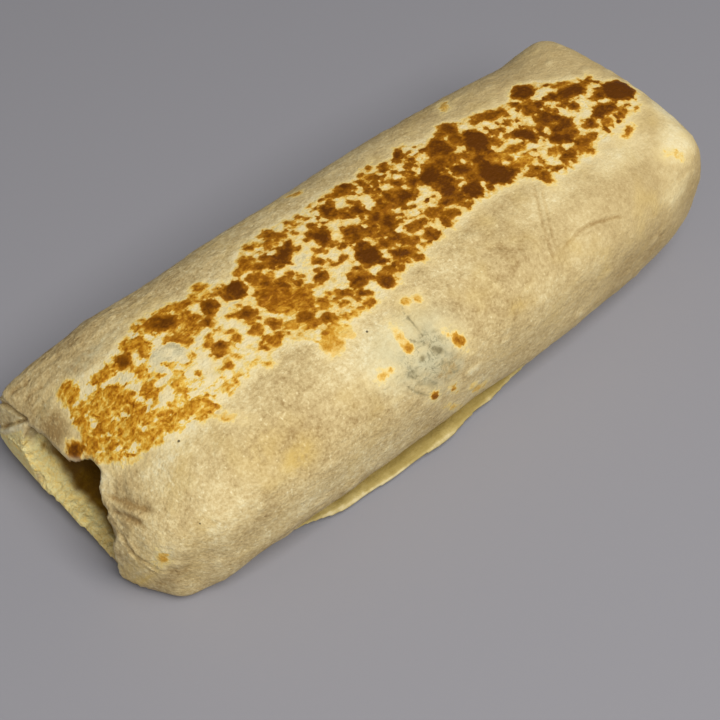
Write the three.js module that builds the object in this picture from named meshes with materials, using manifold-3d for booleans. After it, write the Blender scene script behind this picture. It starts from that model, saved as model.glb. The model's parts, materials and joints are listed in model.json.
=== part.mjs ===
// A whole burrito: one flour tortilla rolled round its filling, both ends folded in, lying on its flat underside with
// the griddled side up. Millimetres, +Z up. X runs along the roll, the near, open fold is at -X and the far fold at +X.
// Y runs across it: the free edge of the tortilla stands out as a low lip along the -Y side. The origin is on the
// resting plane, under the middle of the roll.
//
// The tortilla is one sheet, so the object is one solid. It is made from
//   - the roll, a closed loft of rounded sections whose widths and heights are profiles over X,
//   - the free edge, a thin arc-edged sheet under the roll that stands out as a lip,
//   - a mouth at each end, cut in under the hood of the top fold, whose floor is the slanting end flap,
//   - the tuck creases, thin grooves that run from each mouth's corner round the end.
import * as THREE from "three";
import { mergeVertices } from "three/addons/utils/BufferGeometryUtils.js";
import Module from "manifold-3d";

// ---- Driving dimensions, mm ----
const LENGTH = 198.5; // over both ends
const NEAR_X = -97.5; // the near end's outermost fold
const FAR_X = NEAR_X + LENGTH;
const WIDTH = 77; // across the roll at mid length
const HEIGHT = 46.5; // griddled top above the resting plane
const LAYER = 1.9; // the free edge's thickness, one layer of tortilla
const LIP_REACH = 37.4; // how far the free edge stands out from the middle plane
const EDGE_RADIUS = 190; // the free edge is an arc of the tortilla's round outline
const LIP_CENTRE_X = -16;
const MOUTH_DEPTH = 20; // how far the mouth runs in under the hood
const MOUTH_CORNER_Y = 26; // where the hood meets the flap
const FOLD_Y = -12; // foot of the side fold that closes the mouth's other side
const UNDERCUT = 8; // how far the mouth runs in behind that fold
const FAR_HOOD_Z = 21.5; // height of the far hood's rim
const FAR_CORNER_Y = 22; // the far mouth's two corners and its depth
const FAR_FOLD_Y = -16;
const FAR_DEPTH = 12;

const ALONG = 62; // loft stations
const AROUND = 44; // points round a section

const half = WIDTH / 2;

// Monotone cubic through a profile's knots [[x, value], ...].
function profile(knots) {
  const xs = knots.map((k) => k[0]),
    ys = knots.map((k) => k[1]);
  const n = xs.length,
    h = [],
    d = [],
    m = new Array(n).fill(0);
  for (let i = 0; i < n - 1; i++) {
    h.push(xs[i + 1] - xs[i]);
    d.push((ys[i + 1] - ys[i]) / h[i]);
  }
  for (let i = 1; i < n - 1; i++)
    if (d[i - 1] * d[i] > 0) {
      const a = 2 * h[i] + h[i - 1],
        b = h[i] + 2 * h[i - 1];
      m[i] = (a + b) / (a / d[i - 1] + b / d[i]);
    }
  m[0] = d[0];
  m[n - 1] = d[n - 2];
  return (x) => {
    const c = Math.min(Math.max(x, xs[0]), xs[n - 1]);
    let i = 0;
    while (i < n - 2 && c > xs[i + 1]) i++;
    const t = (c - xs[i]) / h[i],
      t2 = t * t,
      t3 = t2 * t;
    return (
      (2 * t3 - 3 * t2 + 1) * ys[i] +
      (t3 - 2 * t2 + t) * h[i] * m[i] +
      (3 * t2 - 2 * t3) * ys[i + 1] +
      (t3 - t2) * h[i] * m[i + 1]
    );
  };
}

// The roll's outline from above, its top line from the side, its underside and how square its sections are.
const back = profile([[NEAR_X, 38], [-96.3, 39.8], [-93, 40.6], [-86, 40.6], [-76, 39.3], [-60, half - 0.5], [0, half - 0.5], [60, half - 1.2], [85, 36.4], [93, 35.8], [97.5, 34], [100, 30], [FAR_X, 24]]);
const front = profile([[NEAR_X, 6], [-96, 15.8], [-92, 24], [-88, 29.2], [-84, 32], [-76, 35.8], [-40, half + 0.2], [0, half], [50, half - 0.1], [75, 36.5], [88, 33.4], [95, 30.8], [99, 26], [FAR_X, 19]]);
const top = profile([[NEAR_X, 12.5], [-96, 18], [-93, 24.5], [-90, 28.4], [-84, 33.8], [-76, 39], [-62, 43.6], [-40, 45.6], [0, HEIGHT], [50, HEIGHT], [80, 46], [90, 44.8], [96, 41.4], [99.5, 35], [FAR_X, 26.5]]);
const under = profile([[NEAR_X, -1], [-96, -3.5], [-90, -5], [-82, -4.5], [-68, -1.5], [90, -1.5], [97, 0.5], [FAR_X, 5]]);
const square = profile([[NEAR_X, 4.6], [-88, 4.3], [-72, 3.2], [-50, 2.9], [0, 2.9], [75, 2.9], [93, 4.4], [FAR_X, 5.2]]); // upper half
const round = profile([[NEAR_X, 3.8], [-84, 3.6], [-60, 2.9], [60, 2.9], [80, 2.5], [FAR_X, 2.5]]); // lower half

// A point of the section at x, t going once round it from the back.
function sectionPoint(x, t, shrink, out) {
  const c = Math.cos(t),
    s = Math.sin(t),
    e = 2 / (s > 0 ? square(x) : round(x));
  const low = under(x),
    high = top(x),
    mid = (low + high) / 2;
  const sy = Math.sign(c) * Math.abs(c) ** e,
    sz = Math.sign(s) * Math.abs(s) ** e;
  const y = sy > 0 ? sy * back(x) : sy * front(x);
  const middleY = (back(x) - front(x)) / 2;
  const z = mid + ((high - low) / 2) * sz;
  return out.set(x, middleY + (y - middleY) * shrink, Math.max(mid + (z - mid) * shrink, 0));
}

// Where station v in 0..1 is along the roll: close together at both ends, and two short caps that shrink to a point.
const CAP = 0.06;
function station(v) {
  if (v < CAP) return { x: NEAR_X, shrink: Math.sin((v / CAP) * (Math.PI / 2)) };
  if (v > 1 - CAP) return { x: FAR_X, shrink: Math.sin(((1 - v) / CAP) * (Math.PI / 2)) };
  const w = (v - CAP) / (1 - 2 * CAP);
  const eased = w - (0.86 * Math.sin(2 * Math.PI * w)) / (2 * Math.PI);
  return { x: NEAR_X + LENGTH * eased, shrink: 1 };
}

const wasm = await Module();
wasm.setup();

// A closed three.js geometry as a manifold-3d solid. Its vertices are merged and its flat triangles dropped first.
function solid(geometry) {
  const bare = geometry.clone();
  for (const name of ["normal", "uv"]) bare.deleteAttribute(name);
  const g = mergeVertices(bare, 1e-4);
  const p = g.attributes.position.array,
    ids = g.index.array,
    kept = [];
  for (let i = 0; i < ids.length; i += 3) {
    const [a, b, c] = [ids[i], ids[i + 1], ids[i + 2]];
    if (a !== b && b !== c && a !== c) kept.push(a, b, c);
  }
  const made = new wasm.Manifold(new wasm.Mesh({ numProp: 3, vertProperties: new Float32Array(p), triVerts: new Uint32Array(kept) }));
  if (made.volume() > 0) return made;
  for (let i = 0; i < kept.length; i += 3) [kept[i + 1], kept[i + 2]] = [kept[i + 2], kept[i + 1]];
  return new wasm.Manifold(new wasm.Mesh({ numProp: 3, vertProperties: new Float32Array(p), triVerts: new Uint32Array(kept) }));
}

// The roll: a sphere's grid of vertices, each moved to its place on the loft.
function roll() {
  const g = new THREE.SphereGeometry(1, AROUND, ALONG),
    pos = g.attributes.position,
    uv = g.attributes.uv,
    p = new THREE.Vector3();
  for (let i = 0; i < pos.count; i++) {
    const s = station(uv.getY(i));
    sectionPoint(s.x, 2 * Math.PI * (uv.getX(i) % 1), s.shrink, p);
    pos.setXYZ(i, p.x, p.y, p.z);
  }
  return solid(g);
}

// A block of nx by ny cells whose floor and roof are height fields over its own plan: at(u, v, w) gives the place of
// each corner, with u, v and w from 0 to 1.
function block(nx, ny, nz, at) {
  const g = new THREE.BoxGeometry(1, 1, 1, nx, ny, nz),
    pos = g.attributes.position;
  for (let i = 0; i < pos.count; i++) {
    const [x, y, z] = at(pos.getX(i) + 0.5, pos.getY(i) + 0.5, pos.getZ(i) + 0.5);
    pos.setXYZ(i, x, y, z);
  }
  return solid(g);
}

const lerp = (a, b, t) => a + (b - a) * t;
const ramp = (a, b, x) => {
  const t = Math.min(Math.max((x - a) / (b - a), 0), 1);
  return t * t * (3 - 2 * t);
};

// The free edge: a sheet one layer thick on the resting plane, its outer edge an arc of the tortilla's outline,
// curling up slightly where it stands out from under the roll.
function freeEdge() {
  const reach = (x) => -LIP_REACH + EDGE_RADIUS - Math.sqrt(EDGE_RADIUS ** 2 - (x - LIP_CENTRE_X) ** 2);
  return block(30, 8, 2, (u, v, w) => {
    const x = lerp(-66, 58, u),
      edge = Math.max(reach(x), -front(x) - 4);
    const y = lerp(-18, edge, v);
    const out = ramp(0.35, 1, v);
    const thick = LAYER * (1 - 0.45 * ramp(0.85, 1, v));
    const base = out * 1.9;
    return [x, y, base + thick * w];
  });
}

// Height of the roll's upper surface over the plan point (x, y).
function upper(x, y) {
  const n = square(x),
    reach = y > 0 ? back(x) : front(x),
    low = under(x),
    high = top(x);
  const across = Math.min(Math.abs(y) / reach, 1);
  return (low + high) / 2 + ((high - low) / 2) * (1 - across ** n) ** (1 / n);
}

const even = (n) => Array.from({ length: n + 1 }, (_, i) => i / n);

// A mouth, cut in one block. In front of the rim it is open above. Behind the rim its roof is the hood's underside, and
// it runs in behind the side fold. Its floor is the end flap, which slants up and in under the hood. across and levels
// are the block's stations over the mouth's width and height, and lean is how far the side fold's edge stands over the
// mouth at each height. inward is 1 at the -X end and -1 at the +X end.
function mouth({ inward, foot, rim, flap, roof, lean, cornerY, foldY, undercut, depth, across, levels }) {
  // stations from outside the foot to the rim, as fractions of that distance, then those under the hood
  const open = [-1.6, -0.02, 0.06, 0.18, 0.4, 0.7, 1],
    COVERED = 9,
    cells = open.length + COVERED;
  const [wideCells, highCells] = [across.length - 1, levels.length - 1];
  return block(cells, wideCells, highCells, (u, vCell, wCell) => {
    const v = across[Math.round(vCell * wideCells)],
      w = levels[Math.round(wCell * highCells)];
    const k = Math.round(u * cells) - open.length, // below 0 in front of the rim, 0 just under it
      t = Math.max(k - 1, 0) / (COVERED - 1),
      wide = k > 0 ? 1 : 0;
    const yRim = lerp(foldY, cornerY, v),
      y0 = yRim - undercut * wide * (1 - v) ** 3;
    const edge = rim(yRim),
      toe = foot(y0);
    const start = Math.min(inward * toe, inward * edge - 2) * inward;
    const bulge = Math.sin(Math.PI * (0.1 + 0.8 * v)) ** 0.5;
    const behind = undercut > 0 ? 3.5 * (1 - v) ** 3 : 0; // the side fold's own thickness
    let x = lerp(start, edge, open[k + open.length]);
    if (k >= 0) x = edge + inward * (0.2 + wide * (0.2 + behind) + depth * bulge * t ** 1.25);
    const floor = flap(inward * (x - toe), y0),
      under = roof(x, y0);
    const z = k < 0 ? lerp(floor, 49, w) : lerp(Math.min(floor, under - 0.4 * (1 - t)), lerp(under, Math.min(floor, under), ramp(0.3, 1, t) * 0.97), w);
    return [x, y0 + (1 - wide) * (1 - v) ** 3 * lean(z), z];
  });
}

// The near hood's rim over Y, with the dip where it drops behind the side fold, the rise of the flap away from its
// foot, and the side fold's edge over Z, which bulges low down and steps back where it passes under the hood.
const nearRim = profile([[-20, -95.2], [-13, -95], [-11, -94.5], [-9.1, -94.4], [-7.9, -94], [-7.1, -93.5], [-6.3, -92.9], [-5.9, -91.6], [-5, -90.7], [-3.6, -90.4], [-2.2, -90], [0, -89.8], [3.4, -90.4], [4.8, -91.5], [5.8, -92.1], [7.3, -92.6], [9.5, -93], [16.8, -93.1], [21.2, -93.5], [27, -94.1]]);
const nearFlap = profile([[-8, -3], [-0.6, -1.5], [0, 0], [3, 3.2], [7, 6.6], [12, 9.6], [18, 12], [26, 14]]);
const nearFold = profile([[0, -0.9], [5.6, -1.2], [9.5, -1.2], [12, -1], [14, -0.7], [18.4, -1.6], [19.9, -1.3], [21.2, -0.6], [21.8, 2], [22.8, 4.1], [23.8, 5], [24.6, 5.7], [26, 5.9], [27.3, 6.2], [30, 7]]);

const nearMouth = () =>
  mouth({
    inward: 1,
    foot: (y) => lerp(-97, -95.9, ramp(14, -12, y)) - 6 * ramp(21.5, 26.3, y),
    rim: nearRim,
    // the flap's corner beside the hood's is lifted off the plate
    flap: (d, y) => nearFlap(d) + 7.5 * ramp(13, 27, y) * ramp(-0.5, 0.5, d),
    roof: (x, y) => upper(x, y) - LAYER * lerp(1.05, 1.5, ramp(-93, -88, x)),
    lean: nearFold,
    cornerY: MOUTH_CORNER_Y,
    foldY: FOLD_Y,
    undercut: UNDERCUT,
    depth: MOUTH_DEPTH,
    across: [0, 0.05, 0.09, 0.12, 0.145, 0.165, 0.185, 0.22, 0.27, 0.33, 0.39, 0.44, 0.48, 0.53, 0.62, 0.73, 0.82, 0.88, 0.92, 0.96, 1],
    levels: [0, 0.1, 0.19, 0.28, 0.36, 0.41, 0.437, 0.452, 0.475, 0.51, 0.56, 0.63, 0.78, 1],
  });

// The far end's hood comes further down over its flap, so the far mouth is a slit across the end.
const farMouth = () =>
  mouth({
    inward: -1,
    foot: (y) => 100.4 - 0.7 * ramp(10, -12, y) + 1.2 * ramp(0.45, 1.02, (y - FAR_FOLD_Y) / (FAR_CORNER_Y - FAR_FOLD_Y)),
    rim: () => FAR_X + 0.5,
    flap: profile([[-8, -3], [0, 0], [0.4, 4], [1.2, 9], [2.4, 14], [4.5, 18], [8, 20.2], [14, 21.4], [20, 21.6]]),
    roof: (x, y) => FAR_HOOD_Z + 4 * Math.abs((y - 3) / 19) ** 1.6 + 1.5 * ramp(FAR_X, FAR_X - 6, x),
    lean: (z) => 5 * ramp(0, 24, z),
    cornerY: FAR_CORNER_Y,
    foldY: FAR_FOLD_Y,
    undercut: 0,
    depth: FAR_DEPTH,
    across: even(16),
    levels: even(5),
  });

// A crease: a thin wedge along the line from a to b, cut to its depth towards the inside, tapering to both ends.
function crease(a, b, inward, width, depth) {
  const from = new THREE.Vector3(...a),
    run = new THREE.Vector3(...b).sub(from),
    into = new THREE.Vector3(...inward).normalize(),
    across = new THREE.Vector3().crossVectors(run, into).normalize();
  const p = new THREE.Vector3();
  return block(6, 2, 1, (u, v, w) => {
    const swell = 0.25 + 0.75 * Math.sin(Math.PI * u) ** 0.6;
    p.copy(from)
      .addScaledVector(run, u)
      .addScaledVector(into, lerp(-3, depth * swell, w))
      .addScaledVector(across, (v - 0.5) * width * swell * lerp(1.6, 0.08, w));
    return [p.x, p.y, p.z];
  });
}

const whole = roll()
  .add(freeEdge())
  .subtract(nearMouth())
  .subtract(farMouth())
  .subtract(crease([-93.5, MOUTH_CORNER_Y - 1.5, 23], [-95.6, 41, 20], [1, -0.35, -0.2], 1.5, 2.2))
  .subtract(crease([-94.2, MOUTH_CORNER_Y - 1.5, 21], [-97.6, 38.5, 8], [1, -0.25, 0.1], 1.4, 2))
  .subtract(crease([101, FAR_CORNER_Y - 1.5, 24.5], [98.2, 38, 21], [-1, -0.35, -0.1], 1.4, 2))
  .subtract(crease([101, FAR_CORNER_Y - 1.5, 21], [97.5, 37.5, 9], [-1, -0.35, 0.1], 1.4, 2))
  .subtract(crease([101, FAR_FOLD_Y + 1.5, 23], [98, -33.5, 30], [-1, 0.35, -0.1], 1.4, 2));

const cut = whole.getMesh();
const geometry = new THREE.BufferGeometry();
geometry.setAttribute("position", new THREE.BufferAttribute(new Float32Array(cut.vertProperties), cut.numProp));
geometry.setIndex(new THREE.BufferAttribute(new Uint32Array(cut.triVerts), 1));
// the origin goes under the middle of the roll, on the resting plane
geometry.computeBoundingBox();
const { min, max } = geometry.boundingBox;
geometry.translate(-(min.x + max.x) / 2, -(min.y + max.y) / 2, -min.z);
geometry.computeVertexNormals();

const tortilla = new THREE.MeshStandardMaterial({ color: new THREE.Color(0.84, 0.72, 0.5), roughness: 0.62, metalness: 0 });
const burrito = new THREE.Mesh(geometry, tortilla);
burrito.name = "tortilla_roll";

const part = new THREE.Group();
part.add(burrito);

export default part;
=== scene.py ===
import json
import math

import bmesh
import bpy
import numpy as np
from mathutils import Matrix, Vector

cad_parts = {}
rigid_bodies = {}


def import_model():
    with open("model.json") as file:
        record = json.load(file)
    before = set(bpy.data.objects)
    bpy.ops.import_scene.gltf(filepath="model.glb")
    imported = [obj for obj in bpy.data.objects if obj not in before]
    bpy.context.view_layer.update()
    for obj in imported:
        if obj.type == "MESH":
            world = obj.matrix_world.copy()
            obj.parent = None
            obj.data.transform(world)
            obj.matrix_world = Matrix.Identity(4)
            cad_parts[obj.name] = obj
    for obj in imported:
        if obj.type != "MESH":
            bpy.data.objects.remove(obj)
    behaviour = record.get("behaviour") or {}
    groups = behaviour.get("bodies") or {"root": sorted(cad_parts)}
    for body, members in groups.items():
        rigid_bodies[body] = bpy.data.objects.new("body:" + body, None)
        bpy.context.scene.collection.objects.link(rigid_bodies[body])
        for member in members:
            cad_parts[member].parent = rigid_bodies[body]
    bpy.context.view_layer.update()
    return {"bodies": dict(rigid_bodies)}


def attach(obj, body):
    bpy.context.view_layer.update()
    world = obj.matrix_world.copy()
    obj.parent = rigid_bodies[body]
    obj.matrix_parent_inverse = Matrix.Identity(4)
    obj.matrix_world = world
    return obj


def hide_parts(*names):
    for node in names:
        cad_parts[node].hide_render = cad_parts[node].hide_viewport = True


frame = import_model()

# ---------------------------------------------------------------------------------------------------------------------
# The burrito's form. Millimetres here, in a frame whose X = 0 is 1.75 mm from the part's; PLACE carries it over.
# ---------------------------------------------------------------------------------------------------------------------
PLACE = np.array([-1.75, -0.951, 0.0])
NEAR_X, FAR_X = -97.5, 101.0
LAYER = 1.9


def profile(knots):
    """Monotone cubic through [(x, value), ...]."""
    xs, ys = np.array(knots, float).T
    h = np.diff(xs)
    d = np.diff(ys) / h
    m = np.zeros(len(xs))
    for i in range(1, len(xs) - 1):
        if d[i - 1] * d[i] > 0:
            a, b = 2 * h[i] + h[i - 1], h[i] + 2 * h[i - 1]
            m[i] = (a + b) / (a / d[i - 1] + b / d[i])
    m[0], m[-1] = d[0], d[-1]

    def value(x):
        x = np.clip(np.asarray(x, float), xs[0], xs[-1])
        i = np.clip(np.searchsorted(xs, x, side="right") - 1, 0, len(xs) - 2)
        t = (x - xs[i]) / h[i]
        t2, t3 = t * t, t * t * t
        return (2 * t3 - 3 * t2 + 1) * ys[i] + (t3 - 2 * t2 + t) * h[i] * m[i] + (3 * t2 - 2 * t3) * ys[i + 1] + (t3 - t2) * h[i] * m[i + 1]

    return value


def ramp(a, b, x):
    t = np.clip((np.asarray(x, float) - a) / (b - a), 0, 1)
    return t * t * (3 - 2 * t)


def lerp(a, b, t):
    return a + (b - a) * t


BACK = profile([(NEAR_X, 38), (-96.3, 39.8), (-93, 40.6), (-86, 40.6), (-76, 39.3), (-60, 38), (0, 38), (60, 37.3), (85, 36.4), (93, 35.8), (97.5, 34), (100, 30), (FAR_X, 24)])
FRONT = profile([(NEAR_X, 6), (-96, 15.8), (-92, 24), (-88, 29.2), (-84, 32), (-76, 35.8), (-40, 38.7), (0, 38.5), (50, 38.4), (75, 36.5), (88, 33.4), (95, 30.8), (99, 26), (FAR_X, 19)])
TOP = profile([(NEAR_X, 12.5), (-96, 18), (-93, 24.5), (-90, 28.4), (-84, 33.8), (-76, 39), (-62, 43.6), (-40, 45.6), (0, 46.5), (50, 46.5), (80, 46), (90, 44.8), (96, 41.4), (99.5, 35), (FAR_X, 26.5)])
UNDER = profile([(NEAR_X, -1), (-96, -3.5), (-90, -5), (-82, -4.5), (-68, -1.5), (90, -1.5), (97, 0.5), (FAR_X, 5)])
SQUARE = profile([(NEAR_X, 4.6), (-88, 4.3), (-72, 3.2), (-50, 2.9), (0, 2.9), (75, 2.9), (93, 4.4), (FAR_X, 5.2)])
ROUND = profile([(NEAR_X, 3.8), (-84, 3.6), (-60, 2.9), (60, 2.9), (80, 2.5), (FAR_X, 2.5)])


def section(x, t, shrink):
    """Points of the roll's sections: angle t goes once round from the back."""
    c, s = np.cos(t), np.sin(t)
    e = 2 / np.where(s > 0, SQUARE(x), ROUND(x))
    low, high = UNDER(x), TOP(x)
    mid = (low + high) / 2
    sy, sz = np.sign(c) * np.abs(c) ** e, np.sign(s) * np.abs(s) ** e
    y = np.where(sy > 0, sy * BACK(x), sy * FRONT(x))
    middle = (BACK(x) - FRONT(x)) / 2
    z = mid + (high - low) / 2 * sz
    return np.stack([x + 0 * t, middle + (y - middle) * shrink, np.maximum(mid + (z - mid) * shrink, 0)], -1)


def upper(x, y):
    """Height of the roll's upper surface over the plan."""
    n = SQUARE(x)
    reach = np.where(y > 0, BACK(x), FRONT(x))
    low, high = UNDER(x), TOP(x)
    across = np.clip(np.abs(y) / reach, 0, 1)
    return (low + high) / 2 + (high - low) / 2 * (1 - across**n) ** (1 / n)


def mesh_object(name, points, faces):
    me = bpy.data.meshes.new(name)
    me.from_pydata([tuple(p) for p in points], [], [tuple(int(i) for i in f) for f in faces])
    me.validate()
    ob = bpy.data.objects.new(name, me)
    bpy.context.scene.collection.objects.link(ob)
    return ob


def outward(ob):
    bm = bmesh.new()
    bm.from_mesh(ob.data)
    bmesh.ops.remove_doubles(bm, verts=bm.verts, dist=1e-7)
    bmesh.ops.recalc_face_normals(bm, faces=bm.faces)
    if bm.calc_volume(signed=True) < 0:
        bmesh.ops.reverse_faces(bm, faces=bm.faces)
    bm.to_mesh(ob.data)
    bm.free()
    return ob


def roll():
    around, along, cap = 320, 400, 16
    ends = np.sin(np.linspace(0, 1, cap + 1)[1:-1] * math.pi / 2)
    w = np.linspace(0, 1, along)
    body = NEAR_X + (FAR_X - NEAR_X) * (w - 0.7 * np.sin(2 * math.pi * w) / (2 * math.pi))
    xs = np.concatenate([np.full(len(ends), NEAR_X), body, np.full(len(ends), FAR_X)])
    shrink = np.concatenate([ends, np.ones(along), ends[::-1]])
    t = np.linspace(0, 2 * math.pi, around, endpoint=False)
    pts = section(xs[:, None], t[None, :], shrink[:, None])
    rings = len(xs)
    pts = pts.reshape(-1, 3)
    near = pts[:around].mean(0)
    far = pts[-around:].mean(0)
    pts = np.vstack([pts, near, far])
    faces = []
    for i in range(rings - 1):
        a = i * around
        for j in range(around):
            k = (j + 1) % around
            faces.append((a + j, a + around + j, a + around + k, a + k))
    for j in range(around):
        k = (j + 1) % around
        faces.append((len(pts) - 2, j, k))
        faces.append((len(pts) - 1, (rings - 1) * around + k, (rings - 1) * around + j))
    return outward(mesh_object("roll", (pts + PLACE) / 1000, faces))


def block(name, nu, nv, nw, at):
    """A closed block of nu by nv by nw cells; at(i, v, w) places its corners, i counting cells along u."""
    ids = -np.ones((nu + 1, nv + 1, nw + 1), int)
    shell = np.zeros(ids.shape, bool)
    shell[[0, -1]] = True
    shell[:, [0, -1]] = True
    shell[:, :, [0, -1]] = True
    i, j, k = np.nonzero(shell)
    ids[i, j, k] = np.arange(len(i))
    pts = at(i, j / nv, k / nw)
    faces = []

    def sheet(grid):
        n, m = grid.shape
        for a in range(n - 1):
            for b in range(m - 1):
                faces.append((grid[a, b], grid[a + 1, b], grid[a + 1, b + 1], grid[a, b + 1]))

    for g in (ids[0], ids[-1][::-1], ids[:, 0][::-1], ids[:, -1], ids[:, :, 0], ids[:, :, -1][::-1]):
        sheet(g)
    return outward(mesh_object(name, (pts + PLACE) / 1000, faces))


EDGE_X, EDGE_REACH, EDGE_RADIUS = -16.0, 37.4, 190.0


def edge_line(x):
    """The free edge of the tortilla, an arc of its round outline."""
    arc = -EDGE_REACH + EDGE_RADIUS - np.sqrt(EDGE_RADIUS**2 - (x - EDGE_X) ** 2)
    return np.maximum(arc, -FRONT(x) - 4)


def free_edge():
    def at(i, v, w):
        x = lerp(-66, 58, i / 90)
        wander = 0.35 * np.sin(x / 5.3) + 0.25 * np.sin(x / 2.9 + 1)
        y = lerp(-18, edge_line(x) + wander, v)
        out = ramp(0.35, 1, v)
        thick = LAYER * (1 - 0.45 * ramp(0.85, 1, v))
        lift = out * (1.9 + 0.35 * np.sin(x / 8.7 + 2))
        return np.stack([x, y, lift + thick * w], -1)

    return block("free_edge", 90, 24, 4, at)


def mouth(name, inward, toe, rim, floor_at, roof, corner_y, fold_y, undercut, depth, lean, levels=14):
    """A mouth, cut in one block: open above in front of the rim, under the hood behind it, with the end flap as its floor."""
    open_at = np.array([-1.6, -0.3, -0.02, 0.03, 0.08, 0.15, 0.24, 0.34, 0.46, 0.58, 0.7, 0.82, 0.92, 1.0])
    covered = 26
    cells = len(open_at) + covered

    def at(i, v, w):
        k = i - len(open_at)
        t = np.maximum(k - 1, 0) / (covered - 1)
        wide = np.where(k > 0, 1.0, 0.0)
        y0 = lerp(fold_y - undercut * wide, corner_y - 0.4 * wide, v)
        edge = rim(y0)
        start = np.minimum(inward * toe(y0), inward * edge - 2) * inward
        bulge = np.sin(math.pi * (0.1 + 0.8 * v)) ** 0.5
        behind = 3.5 * (1 - v) ** 3 if undercut > 0 else 0.0
        x = np.where(k < 0, lerp(start, edge, open_at[np.minimum(i, len(open_at) - 1)]), edge + inward * (0.2 + wide * (0.2 + behind) + depth * bulge * t**1.25))
        floor = floor_at(x, y0)
        over = roof(x, y0)
        low = np.where(k < 0, floor, np.minimum(floor, over - 0.4 * (1 - t)))
        high = np.where(k < 0, 49.0, lerp(over, np.minimum(floor, over), ramp(0.3, 1, t) * 0.97))
        z = lerp(low, high, w)
        y = y0 + (1 - wide) * (1 - v) ** 3 * lean(z)
        return np.stack([x, y, z], -1)

    return block(name, cells, 56, levels, at)


NEAR_CORNER, NEAR_FOLD = 26.0, -12.0
FLAP_RISE = profile([(-8, -3), (-0.6, -1.5), (0, 0), (3, 3.2), (7, 6.6), (12, 9.6), (18, 12), (26, 14)])
NEAR_RIM = profile([(-20, -95.2), (-13, -95), (-11, -94.5), (-9.1, -94.4), (-7.9, -94), (-7.1, -93.5), (-6.3, -92.9), (-5.9, -91.0), (-5, -89.9), (-3.6, -89.8), (-2.2, -89.7), (0, -89.7), (3.4, -90.4), (4.8, -91.5), (5.8, -92.1), (7.3, -92.6), (9.5, -93), (16.8, -93.1), (21.2, -93.5), (27, -94.1)])
NEAR_EDGE = profile([(0, -0.9), (5.6, -1.2), (9.5, -1.2), (12, -1.0), (14, -0.7), (18.4, -1.6), (19.9, -1.3), (21.2, -0.6), (21.8, 2.0), (22.8, 4.1), (23.8, 5.0), (24.6, 5.7), (26, 5.9), (27.3, 6.2), (30, 7)])
FAR_FLAP = profile([(-8, -3), (0, 0), (0.4, 4), (1.2, 9), (2.4, 14), (4.5, 18), (8, 20.2), (14, 21.4), (20, 21.6)])


def near_toe(y):
    """Where the flap of the near end meets the plate."""
    return lerp(-97.0, -95.9, ramp(14, -12, y)) - 6 * ramp(21.5, 26.3, y)


def near_floor(x, y):
    """Height of that flap; its back corner is lifted off the plate."""
    d = x - near_toe(y)
    return FLAP_RISE(d) + 7.5 * ramp(13, 27, y) * ramp(-0.5, 0.5, d)


def near_mouth():
    return mouth(
        "near_mouth", 1, near_toe, NEAR_RIM, near_floor,
        roof=lambda x, y: upper(x, y) - LAYER * lerp(1.05, 1.5, ramp(-93, -88, x)),
        corner_y=NEAR_CORNER, fold_y=NEAR_FOLD, undercut=8, depth=20, lean=NEAR_EDGE, levels=44,
    )


def far_mouth():
    toe = lambda y: 100.4 - 0.7 * ramp(10, -12, y) + 1.2 * ramp(0.45, 1.02, (y + 16) / 38)
    return mouth(
        "far_mouth", -1, toe, lambda y: FAR_X + 0.5 + 0 * y, lambda x, y: FAR_FLAP(toe(y) - x),
        roof=lambda x, y: 21.5 + 4 * np.abs((y - 3) / 19) ** 1.6 + 1.5 * ramp(FAR_X, FAR_X - 6, x),
        corner_y=22, fold_y=-16, undercut=0, depth=12, lean=lambda z: 5 * ramp(0, 24, z),
    )


def combine(target, other, operation):
    m = target.modifiers.new("b", "BOOLEAN")
    m.operation, m.object, m.solver = operation, other, "MANIFOLD"
    settle(target)
    bpy.data.objects.remove(other)


def settle(ob):
    """Applies ob's modifiers."""
    dg = bpy.context.evaluated_depsgraph_get()
    me = bpy.data.meshes.new_from_object(ob.evaluated_get(dg))
    ob.modifiers.clear()
    old = ob.data
    ob.data = me
    bpy.data.meshes.remove(old)


burrito = roll()
combine(burrito, free_edge(), "UNION")
combine(burrito, near_mouth(), "DIFFERENCE")
combine(burrito, far_mouth(), "DIFFERENCE")
remesh = burrito.modifiers.new("skin", "REMESH")
remesh.mode, remesh.voxel_size = "VOXEL", 0.00066
settle(burrito)
burrito.name = "tortilla"

me = burrito.data
n = len(me.vertices)
co = np.empty(n * 3)
me.vertices.foreach_get("co", co)
co = co.reshape(-1, 3) * 1000 - PLACE
edges = np.empty(len(me.edges) * 2, int)
me.edges.foreach_get("vertices", edges)
edges = edges.reshape(-1, 2)
degree = np.bincount(edges.ravel(), minlength=n)


def neighbours(values):
    """Mean of each vertex's neighbours."""
    out = np.zeros_like(values)
    for c in range(values.shape[1]):
        out[:, c] = np.bincount(edges[:, 0], values[edges[:, 1], c], n) + np.bincount(edges[:, 1], values[edges[:, 0], c], n)
    return out / degree[:, None]


for _ in range(2):
    for step in (0.5, -0.52):
        co = co + step * (neighbours(co) - co)


def normals():
    me.vertices.foreach_set("co", ((co + PLACE) / 1000).ravel())
    me.update()
    out = np.empty(n * 3)
    me.vertex_normals.foreach_get("vector", out)
    return out.reshape(-1, 3)


nor = normals()


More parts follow.
